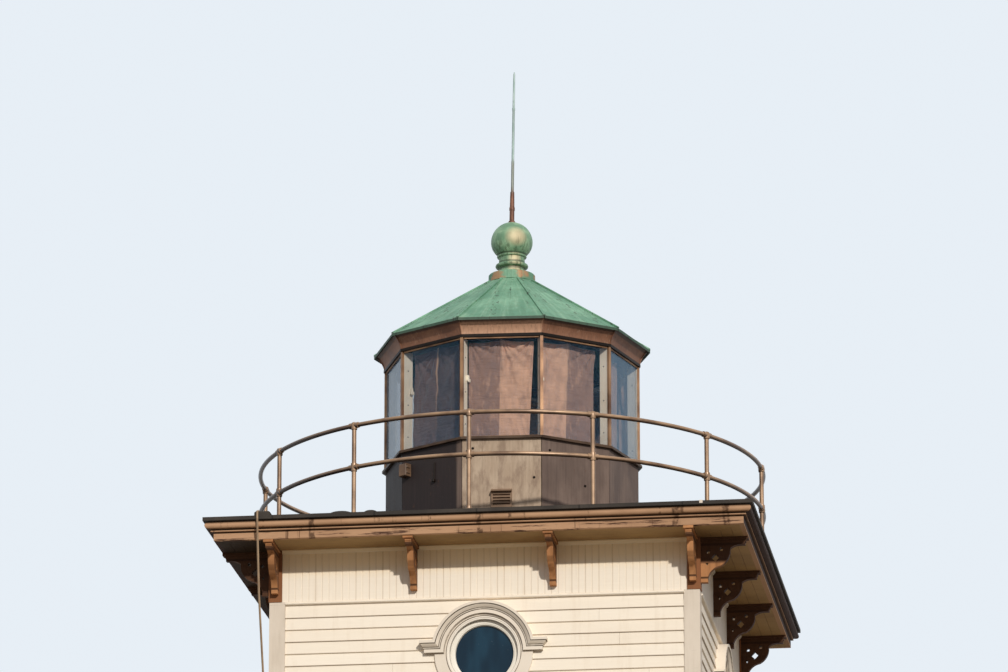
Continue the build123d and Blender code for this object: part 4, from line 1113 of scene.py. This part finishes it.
def hood_with_ears():
    arch = turned(hood_profile, 64, pi, closed=True)
    for flip in (1, -1):
        cut(arch, Vector((mitre_normal.x * flip, mitre_normal.y, 0)), True)
    ear = bmesh.new()
    for start, end, low_reach, high_reach in hood_bands:
        band = bmesh.new()
        corners = add_block(band, (0.3, start, WALL_FACE), (0.462 + high_reach, end, WALL_FACE + high_reach))
        slope = high_reach - low_reach
        foot = [v for v in corners if v.co.y < start + 0.001]
        bmesh.ops.translate(band, vec=(0, 0, -slope), verts=[v for v in foot if v.co.z > WALL_FACE + 0.001])
        bmesh.ops.translate(band, vec=(-slope, 0, 0), verts=[v for v in foot if v.co.x > 0.4])
        ear = joined(ear, cut(band, mitre_normal, False))
    ears = laid(ear, [Matrix.Identity(4), Matrix.Scale(-1, 4, (1, 0, 0))])
    whole = joined(arch, ears)
    bmesh.ops.recalc_face_normals(whole, faces=whole.faces)
    return eased(whole, 0.001)


finished("window_hoods", laid(hood_with_ears(), window_places), hood_paint, "cream_trim", "oculus_hoods")

# %% [markdown]
# ## Cornice
# The crown over the fascia is full and round, with a narrow fillet under it, and the hollows between
# them stay dark. It could be four mouldings mitred at the corners. A profile spun in only four steps
# gives the same mitres at once: its corners lie on a circle, and its sides come out straight.

# %% Cornice in four sides
FASCIA_BACK = 2.288
FASCIA_FACE = 2.328
FILLET_FACE = 2.352
CROWN_FACE = 2.3996
cornice_profile = [
    (FASCIA_BACK, SOFFIT), (FASCIA_FACE - 0.003, SOFFIT),
    (FASCIA_FACE, SOFFIT + 0.003), (FASCIA_FACE, FASCIA_TOP - 0.003),
    (FASCIA_FACE - 0.010, FASCIA_TOP - 0.001), (FASCIA_FACE - 0.010, FASCIA_TOP + 0.007),
    (FILLET_FACE - 0.003, FASCIA_TOP + 0.009), (FILLET_FACE, FASCIA_TOP + 0.012),
    (FILLET_FACE, FILLET_TOP - 0.003), (FILLET_FACE - 0.003, FILLET_TOP),
    (FILLET_FACE - 0.016, FILLET_TOP + 0.001), (FILLET_FACE - 0.016, CROWN_BOTTOM - 0.002),
]
crown_middle = (CROWN_BOTTOM + CROWN_TOP) / 2
half_crown = (CROWN_TOP - CROWN_BOTTOM) / 2
CROWN_BULGE = 0.026
for step in range(11):
    bend = radians(-90 + 18 * step)
    out = CROWN_FACE - CROWN_BULGE * (1 - cos(bend))
    cornice_profile.append((out, crown_middle + half_crown * sin(bend)))
cornice_profile += [(CROWN_FACE - 0.030, 13.960), (CROWN_FACE - 0.030, 13.968), (FASCIA_BACK, 13.968)]


def four_sided(profile):
    """A moulding with a mitred corner at each quarter turn."""
    shape = turned([(distance * sqrt(2), height) for distance, height in profile], 4, closed=True)
    return laid(shape, [about(45)])


finished("cyma_cornice", four_sided(cornice_profile), cornice_paint, "brown_trim", "cornice")

# %% [markdown]
# ## Railing
# Gas pipe, bent to a ring and screwed into fittings on twelve posts. The CAD rings are straight
# lengths of octagonal bar, which is enough for a collision. Here a circle is spun right round for each
# rail, a short sleeve is spun at each post, and every post is turned from its profile, foot to cap.

# %% Rails and posts
RAILING_RADIUS = 2.288
PIPE_RADIUS = 0.02
TOP_RAIL = 14.904
MID_RAIL = 14.522
ROOF_EDGE = 14
ROOF_HALF_SIDE = 2.414
DECK_RISE = 0.11
DECK_RUN = 1.164
post_angles = [angle + turn - 90 for turn in (0, 180) for angle in (-92, -58, -30, -2, 25.5, 56.5)]


def pipe_bend(height, radius, angle=tau, steps=180):
    """A length of round pipe bent about the tower's axis."""
    around = [tau * step / 16 for step in range(16)]
    pipe = [(RAILING_RADIUS + radius * cos(bend), height + radius * sin(bend)) for bend in around]
    return turned(pipe, steps, angle, closed=True)


SLEEVE_SPREAD = 2.4
sleeve_places = [about(angle - SLEEVE_SPREAD / 2) for angle in post_angles]
for height, name in ((TOP_RAIL, "top_rail"), (MID_RAIL, "mid_rail")):
    ring = pipe_bend(height, PIPE_RADIUS)
    sleeves = laid(pipe_bend(height, 0.0265, radians(SLEEVE_SPREAD), 3), sleeve_places)
    finished(f"round_{name}", joined(ring, sleeves), rail_coat, "rail_paint", name)


def post_profile(foot):
    """Flange, pipe, a fitting at each rail and a cap."""
    flange = from_level(foot, (0, -0.006), (0.046, -0.006), (0.046, 0.010), (0.042, 0.014), (0.028, 0.015))
    pipe = from_level(foot, (0.026, 0.040), (PIPE_RADIUS, 0.044))
    lower = from_level(MID_RAIL, (PIPE_RADIUS, -0.040), (0.027, -0.036), (0.029, -0.012))
    upper = from_level(MID_RAIL, (0.029, 0.012), (0.027, 0.036), (PIPE_RADIUS, 0.040))
    top = from_level(TOP_RAIL, (PIPE_RADIUS, -0.040), (0.027, -0.036), (0.029, -0.010), (0.028, 0.012))
    cap = from_level(TOP_RAIL, (0.022, 0.025), (0.010, 0.031), (0, 0.032))
    return flange + pipe + lower + upper + top + cap


def all_posts():
    posts = bmesh.new()
    for angle in post_angles:
        x, y = RAILING_RADIUS * cos(radians(angle)), RAILING_RADIUS * sin(radians(angle))
        foot = ROOF_EDGE + DECK_RISE * (ROOF_HALF_SIDE - max(abs(x), abs(y))) / DECK_RUN
        one = laid(turned(post_profile(foot), 20), [shifted(x, y, 0)])
        posts = joined(posts, one)
    return posts


finished("round_posts", all_posts(), rail_coat, "rail_paint", "railing_posts")

# %% [markdown]
# ## Finial and lightning rod
# A coppersmith spins a ball and a neck on a lathe, and so does this cell. The ball is a little flat
# below, where it sits on the neck. The rod stands in a socket on the ball and has leaned with age.

# %% Spun ball and rod
NECK_RADIUS = 0.12
BALL_RADIUS = 0.192
BALL_LOWER = 0.170
NECK_TOP = 17.03
BALL_SUNK = 0.735  # share of the lower half that shows over the neck
BALL_CENTRE = NECK_TOP + BALL_LOWER * BALL_SUNK
flange_points = [
    (0, 0), (0.216, 0), (0.214, 0.070), (0.206, 0.079), (0.150, 0.082), (0.132, 0.090),
    (0.121, 0.120), (NECK_RADIUS, 0.142), (0.136, 0.146), (0.147, 0.153), (0.151, 0.164),
    (0.147, 0.176), (0.136, 0.184), (NECK_RADIUS, 0.190),
]
neck_points = [(0.118, -0.034), (NECK_RADIUS, -0.024), (0.133, -0.022), (0.137, -0.014), (0.133, -0.004)]
finial_profile = from_level(FLANGE_BOTTOM, *flange_points) + from_level(NECK_TOP, *neck_points)
BALL_STEPS = 22
ball_foot = -asin(BALL_SUNK)
for step in range(BALL_STEPS + 1):
    angle = ball_foot + (pi / 2 - 0.16 - ball_foot) * step / BALL_STEPS
    half_height = BALL_LOWER if angle < 0 else BALL_RADIUS
    finial_profile.append((BALL_RADIUS * cos(angle), BALL_CENTRE + half_height * sin(angle)))
rod_base = finial_profile[-1][1]
finial_profile.append((0, rod_base))
finished("spun_finial", turned(finial_profile, 64), patina, "patina", "finial")

rod_profile = [
    (0, -0.002), (0.032, -0.002), (0.032, 0.014), (0.027, 0.020), (0.023, 0.022), (0.0225, 0.120),
    (0.026, 0.124), (0.026, 0.150), (0.022, 0.154), (0.019, 0.300), (0.014, 0.306), (0.0140, 0.600),
    (0.0125, 0.610), (0.0115, 1.090), (0.0140, 1.094), (0.0140, 1.116), (0.0110, 1.120),
    (0.0090, 1.440), (0.004, 1.466), (0, 1.470),
]
lean = shifted(0, 0, rod_base) @ about(0.9, "Y")


# %% Rod's own finish
def rod_metal():
    coat = Finish("rod_metal")
    up = coat.part("Z")
    ragged = up + coat.cloud(0.05, (1, 1, 3), 5) * 0.2
    green = coat.fade(ragged, rod_base + 0.36, rod_base + 0.48)
    stain = coat.blots(0.02, 0.4, 0.7, (1, 1, 5))
    brown = coat.mix(stain, (98, 62, 46), (138, 92, 68))
    grubby = coat.fade(up, rod_base + 0.64, rod_base + 0.56)
    upper = coat.layers((146, 168, 162), (stain, (178, 194, 190)), (grubby * 0.6, (112, 98, 84)))
    return coat.dress(coat.mix(green, brown, upper), 0.5, stain, 0.001, 0.3)


finished("leaning_rod", laid(turned(rod_profile, 16), [lean]), rod_metal(), "patina", "lightning_rod")

# %% [markdown]
# ## Curtains
# Each pane has a cloth hooked at its two top corners and in the middle, where the hook is a little
# higher. The cloth is wider than the hooks are apart, so its top edge sags between them and creases
# fan out from each hook. Folds like these are hard to place by hand. Blender's own cloth is hung here
# instead: a flat sheet, eased into shallow waves, is held at three points and falls into place. Two
# panes to the left stand bare, and the two to the far right have their cloth drawn to one side.

# %% Hang one cloth
CURTAIN_DROP = 0.905
CURTAIN_TOP = 15.912
CURTAIN_DISTANCE = 0.992
CLOTH_FRAMES = 32
CLOTH_SETTINGS = {
    "vertex_group_mass": "hooks",
    "quality": 7,
    "mass": 0.25,
    "tension_stiffness": 22,
    "compression_stiffness": 22,
    "shear_stiffness": 8,
    "bending_stiffness": 0.08,
    "air_damping": 3,
}


def hung_cloth(seed, span, pleats, fullness):
    """A cloth that faces the front, with its pleats eased in, left to fall from three hooks."""
    shape = bmesh.new()
    own = shape.loops.layers.uv.new("cloth")
    bmesh.ops.create_grid(shape, x_segments=40, y_segments=56, size=0.5)
    for face in shape.faces:
        for loop in face.loops:
            loop[own].uv = (loop.vert.co.x + 0.5, loop.vert.co.y + 0.5)
    hooks = []
    for vert in shape.verts:
        across, down = 2 * vert.co.x, 0.5 - vert.co.y
        if down < 0.001 and min(abs(across - hook) for hook in (-1, 0, 1)) < 0.03:
            hooks.append(vert.index)
        wave = fullness * (1 - cos(pi * pleats * across)) / 2
        stir = 0.004 * noise.noise((across * 3 + seed * 11, down * 4, seed * 5))
        peak = 0.022 * (1 - abs(across)) * (1 - down)
        vert.co = (across * span / 2, -wave - stir, -down * CURTAIN_DROP + peak)
    mesh = bpy.data.meshes.new("cloth_sheet")
    shape.to_mesh(mesh)
    shape.free()
    sheet = bpy.data.objects.new("cloth_sheet", mesh)
    bpy.context.scene.collection.objects.link(sheet)
    held = sheet.vertex_groups.new(name="hooks")
    held.add(hooks, 1, "REPLACE")
    hang = sheet.modifiers.new("hang", "CLOTH")
    for name, value in CLOTH_SETTINGS.items():
        setattr(hang.settings, name, value)
    hang.point_cache.frame_end = CLOTH_FRAMES
    for number in range(1, CLOTH_FRAMES + 1):
        bpy.context.scene.frame_set(number)
    settled = bmesh.new()
    settled.from_object(sheet, bpy.context.evaluated_depsgraph_get())
    bpy.data.objects.remove(sheet)
    bpy.context.scene.frame_set(1)
    return settled


# %% [markdown]
# ## Creases
# A simulated cloth of this size falls too smooth: the real one has been hooked and unhooked for
# years. Its old creases are put back on a finer mesh. Each fans out from a hook and dies away, and a
# few soft folds lie between them. The lower right corner has also shrunk in towards the middle.

# %% Crease the cloth
OPEN_DEPTH = 0.024  # room for folds on either side of the cloth's middle


def creased(shape, seed, span):
    bmesh.ops.subdivide_edges(shape, edges=shape.edges[:], cuts=1, use_grid_fill=True)
    middle = sum(vert.co.y for vert in shape.verts) / len(shape.verts)
    for vert in shape.verts:
        aside, down = vert.co.x / (span / 2), -vert.co.z / CURTAIN_DROP
        depth = 0
        for hook in (-1, 0, 1):
            beside, below = vert.co.x - hook * span / 2, max(-vert.co.z, 0) + 0.02
            away = sqrt(beside**2 + below**2)
            ridge = noise.noise((atan2(beside, below) * 4.5 + hook * 5, away * 1.6, seed * 7))
            depth += 0.042 * ridge * min(1, away / 0.10) * exp(-away / 0.42)
        soft = noise.noise((aside * 2.6, down * 3.2, seed * 3 + 9))
        sharp = 1 - 2 * abs(noise.noise((aside * 3 + down * 2.5, down * 6 - aside * 2, seed)))
        fold = vert.co.y - middle - 0.010 * (1 - abs(aside)) - depth - 0.010 * soft - 0.008 * sharp
        vert.co.y = OPEN_DEPTH * fold / sqrt(OPEN_DEPTH**2 + fold**2)
        vert.co.x -= 0.045 * max(down, 0) * (aside + 1) / 2
    return shape


def cloth_pattern(seed, span, pleats, fullness):
    pattern = bpy.data.meshes.new("pattern")
    settled = creased(hung_cloth(seed, span, pleats, fullness), seed, span)
    settled.to_mesh(pattern)
    settled.free()
    return pattern


WIDE_SPAN = 0.585
NARROW_SPAN = 0.36
wide_cloths = [cloth_pattern(seed, WIDE_SPAN, 2, 0.022) for seed in range(3)]
narrow_cloth = cloth_pattern(3, NARROW_SPAN, 5, 0.036)
facet_turns = [LANTERN_TURN - 90 + FACET * number for number in range(10)]
print("patterns of cloth:", len(wide_cloths) + 1)

# %% Eight cloths, each behind its pane
WIDE_FLAT = 0.6
NARROW_FLAT = 0.43
# each cloth: its pane, counted to the right from the front, its pattern, how wide it is when flat,
# its place aside in the pane and its finish
hangings = [
    (0, wide_cloths[0], WIDE_FLAT, -0.012, cloth),
    (1, wide_cloths[1], WIDE_FLAT, -0.018, cloth),
    (2, narrow_cloth, NARROW_FLAT, -0.120, cloth),
    (3, narrow_cloth, NARROW_FLAT, -0.120, cloth),
    (4, wide_cloths[2], WIDE_FLAT, 0, cloth),
    (5, wide_cloths[0], WIDE_FLAT, 0, cloth),
    (6, wide_cloths[1], WIDE_FLAT, 0, shaded_cloth),
    (9, wide_cloths[2], WIDE_FLAT, -0.018, shaded_cloth),
]
curtains = []
for pane, pattern, flat_width, aside, weave in hangings:
    shape = bmesh.new()
    shape.from_mesh(pattern)
    own = shape.loops.layers.uv["cloth"]
    if pane % 2:
        for face in shape.faces:
            for loop in face.loops:
                loop[own].uv.x = 1 - loop[own].uv.x
    hung = shifted(aside, -CURTAIN_DISTANCE, CURTAIN_TOP)
    shape = laid(shape, [about(facet_turns[pane] + 90) @ hung])
    made = finished(f"curtain_{len(curtains) + 1}", shape, weave, "curtain_cloth")
    thick = made.modifiers.new("thickness", "SOLIDIFY")
    thick.thickness = 0.002
    thick.offset = 0
    curtains.append(made)
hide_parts("curtains")
print("curtains hung:", len(curtains))

# %% [markdown]
# ## Glazing details
# The bars between the panes have screws on their flat sides and a small cleat for the blind's cord.
# Along the top of each pane runs a thin bronze bead, and copper strips cover the joints of the cove.

# %% Screws, cleats, beads and seams
corner_turns = [LANTERN_TURN + FACET * number for number in range(10)]
at_corners = [about(turn) for turn in corner_turns]
at_facets = [about(turn) for turn in facet_turns]
screws = [
    peg(10, 0.006, 0.004, 0.004, shifted(1.103, 0.0125 * flip, height) @ about(-90 * flip, "X"))
    for height in (15.14, 15.44, 15.76)
    for flip in (1, -1)
]
finished("mullion_screws", laid(joined(*screws), at_corners), dark_bronze, "lantern_brown")

cleat = blocks(
    ((1.062, 0.011, 15.550), (1.084, 0.034, 15.600)),
    ((1.056, 0.026, 15.535), (1.090, 0.042, 15.566)),
)
finished("blind_cleats", laid(eased(cleat, 0.003), at_corners), cream_metal, "cream_metal")

pane_face = 1.0967
bead = blocks(
    ((pane_face, -0.338, 15.9195), (pane_face + 0.010, 0.338, 15.9345)),
    ((pane_face, -0.338, 15.0035), (pane_face + 0.010, 0.338, 15.0125)),
)
finished("pane_beads", laid(eased(bead, 0.002), at_facets), bar_bronze, "copper")

cove_steps = [(1.172, 15.9605), (1.181, 15.990), (1.196, 16.022), (1.216, 16.052), (1.243, COVE_TOP)]
seam = bmesh.new()
for (low_out, low), (high_out, high) in zip(cove_steps, cove_steps[1:]):
    corners = add_block(seam, (low_out - 0.012, -0.0045, low), (low_out + 0.003, 0.0045, high))
    top = [vert for vert in corners if vert.co.z > high - 0.001]
    bmesh.ops.translate(seam, vec=(high_out - low_out, 0, 0), verts=top)
finished("cove_seams", laid(seam, at_corners), copper, "copper")

# %% [markdown]
# ## Small things on the lantern's wall
# Dark bolts hold the front plates, a latch bar stands on the plate to the left, and the junction box
# has a lid with two hinges. A smaller box sits on a plate to the right.

# %% Bolts, latch and box lid
plate_face = 1.0985
# each bolt: its plate, counted to the right from the front, its place beside the middle, its height
bolt_places = ((0, 0.29, 14.62), (0, -0.26, 14.90), (1, 0.10, 14.60), (1, -0.27, 14.88))
bolts = []
for plate, aside, height in bolt_places:
    spot = shifted(plate_face + 0.005, aside, height) @ about(90, "Y")
    bolts.append(peg(12, 0.013, 0.008, 0.012, at_facets[plate] @ spot))
finished("wall_bolts", joined(*bolts), dark_bronze, "lantern_brown")

latch = blocks(
    ((plate_face, 0.028, 14.655), (plate_face + 0.014, 0.038, 14.830)),
    ((plate_face, 0.020, 14.645), (plate_face + 0.030, 0.046, 14.672)),
)
finished("latch_bar", laid(eased(latch, 0.003), [at_facets[-1]]), dark_bronze, "lantern_brown")

lid = blocks(
    ((plate_face + 0.0605, -0.340, 14.750), (plate_face + 0.068, -0.254, 14.860)),
    ((plate_face + 0.020, -0.2515, 14.770), (plate_face + 0.066, -0.243, 14.790)),
    ((plate_face + 0.020, -0.2515, 14.820), (plate_face + 0.066, -0.243, 14.840)),
)
finished("box_lid", laid(eased(lid, 0.004), [at_facets[-1]]), fitting_coat, "fitting_paint")

small_box = blocks(((plate_face - 0.002, -0.120, 14.330), (plate_face + 0.050, -0.030, 14.440)))
finished("small_box", laid(eased(small_box, 0.004), [at_facets[2]]), fitting_coat, "fitting_paint")

# %% [markdown]
# ## On the roof's edge
# The roofing is turned down over the edge and dressed with pitch, which has left two low lumps near
# the front edge. A pale clip holds the edge to the right. A ball squashed flat makes a lump.

# %% Lumps and a clip
lumps = []
for middle, half_length in ((-1.20, 0.105), (-0.936, 0.065)):
    ball = bmesh.new()
    bmesh.ops.create_icosphere(ball, subdivisions=3, radius=1)
    flat_ball = Matrix.Diagonal((half_length, 0.05, 0.029, 1))
    lumps.append(laid(ball, [shifted(middle, -2.345, 14.002) @ flat_ball]))
finished("roofing_lumps", joined(*lumps), roofing, "roofing")
clip = blocks(((1.950, -2.4145, 13.975), (1.984, -2.380, 14.006)))
finished("edge_clip", eased(clip, 0.003), trim_paint, "cream_trim")

# %% [markdown]
# ## Door furniture
# The photograph stops far above the door, so its lock and hinges are plain ones of the kind that such
# a door has: three butt hinges, a back plate and a round knob.

# %% Knob, plate and hinges
LEAF_FACE = -1.805
plate = eased(blocks(((0.352, LEAF_FACE - 0.004, 1.36), (0.408, LEAF_FACE, 1.58))), 0.002)
knob_profile = [
    (0, 0.068), (0.020, 0.066), (0.028, 0.056), (0.028, 0.046), (0.018, 0.036),
    (0.011, 0.030), (0.011, 0.004), (0.022, 0.003), (0.022, 0),
]
knob = laid(turned(knob_profile, 24), [shifted(0.38, LEAF_FACE - 0.003, 1.50) @ about(90, "X")])
hinge_places = [shifted(-0.4485, LEAF_FACE - 0.009, height) for height in (0.75, 1.5, 2.3)]
hinges = [peg(16, 0.009, 0.009, 0.11, place) for place in hinge_places]
finished("door_furniture", joined(plate, knob, *hinges), dark_bronze, "lantern_brown")
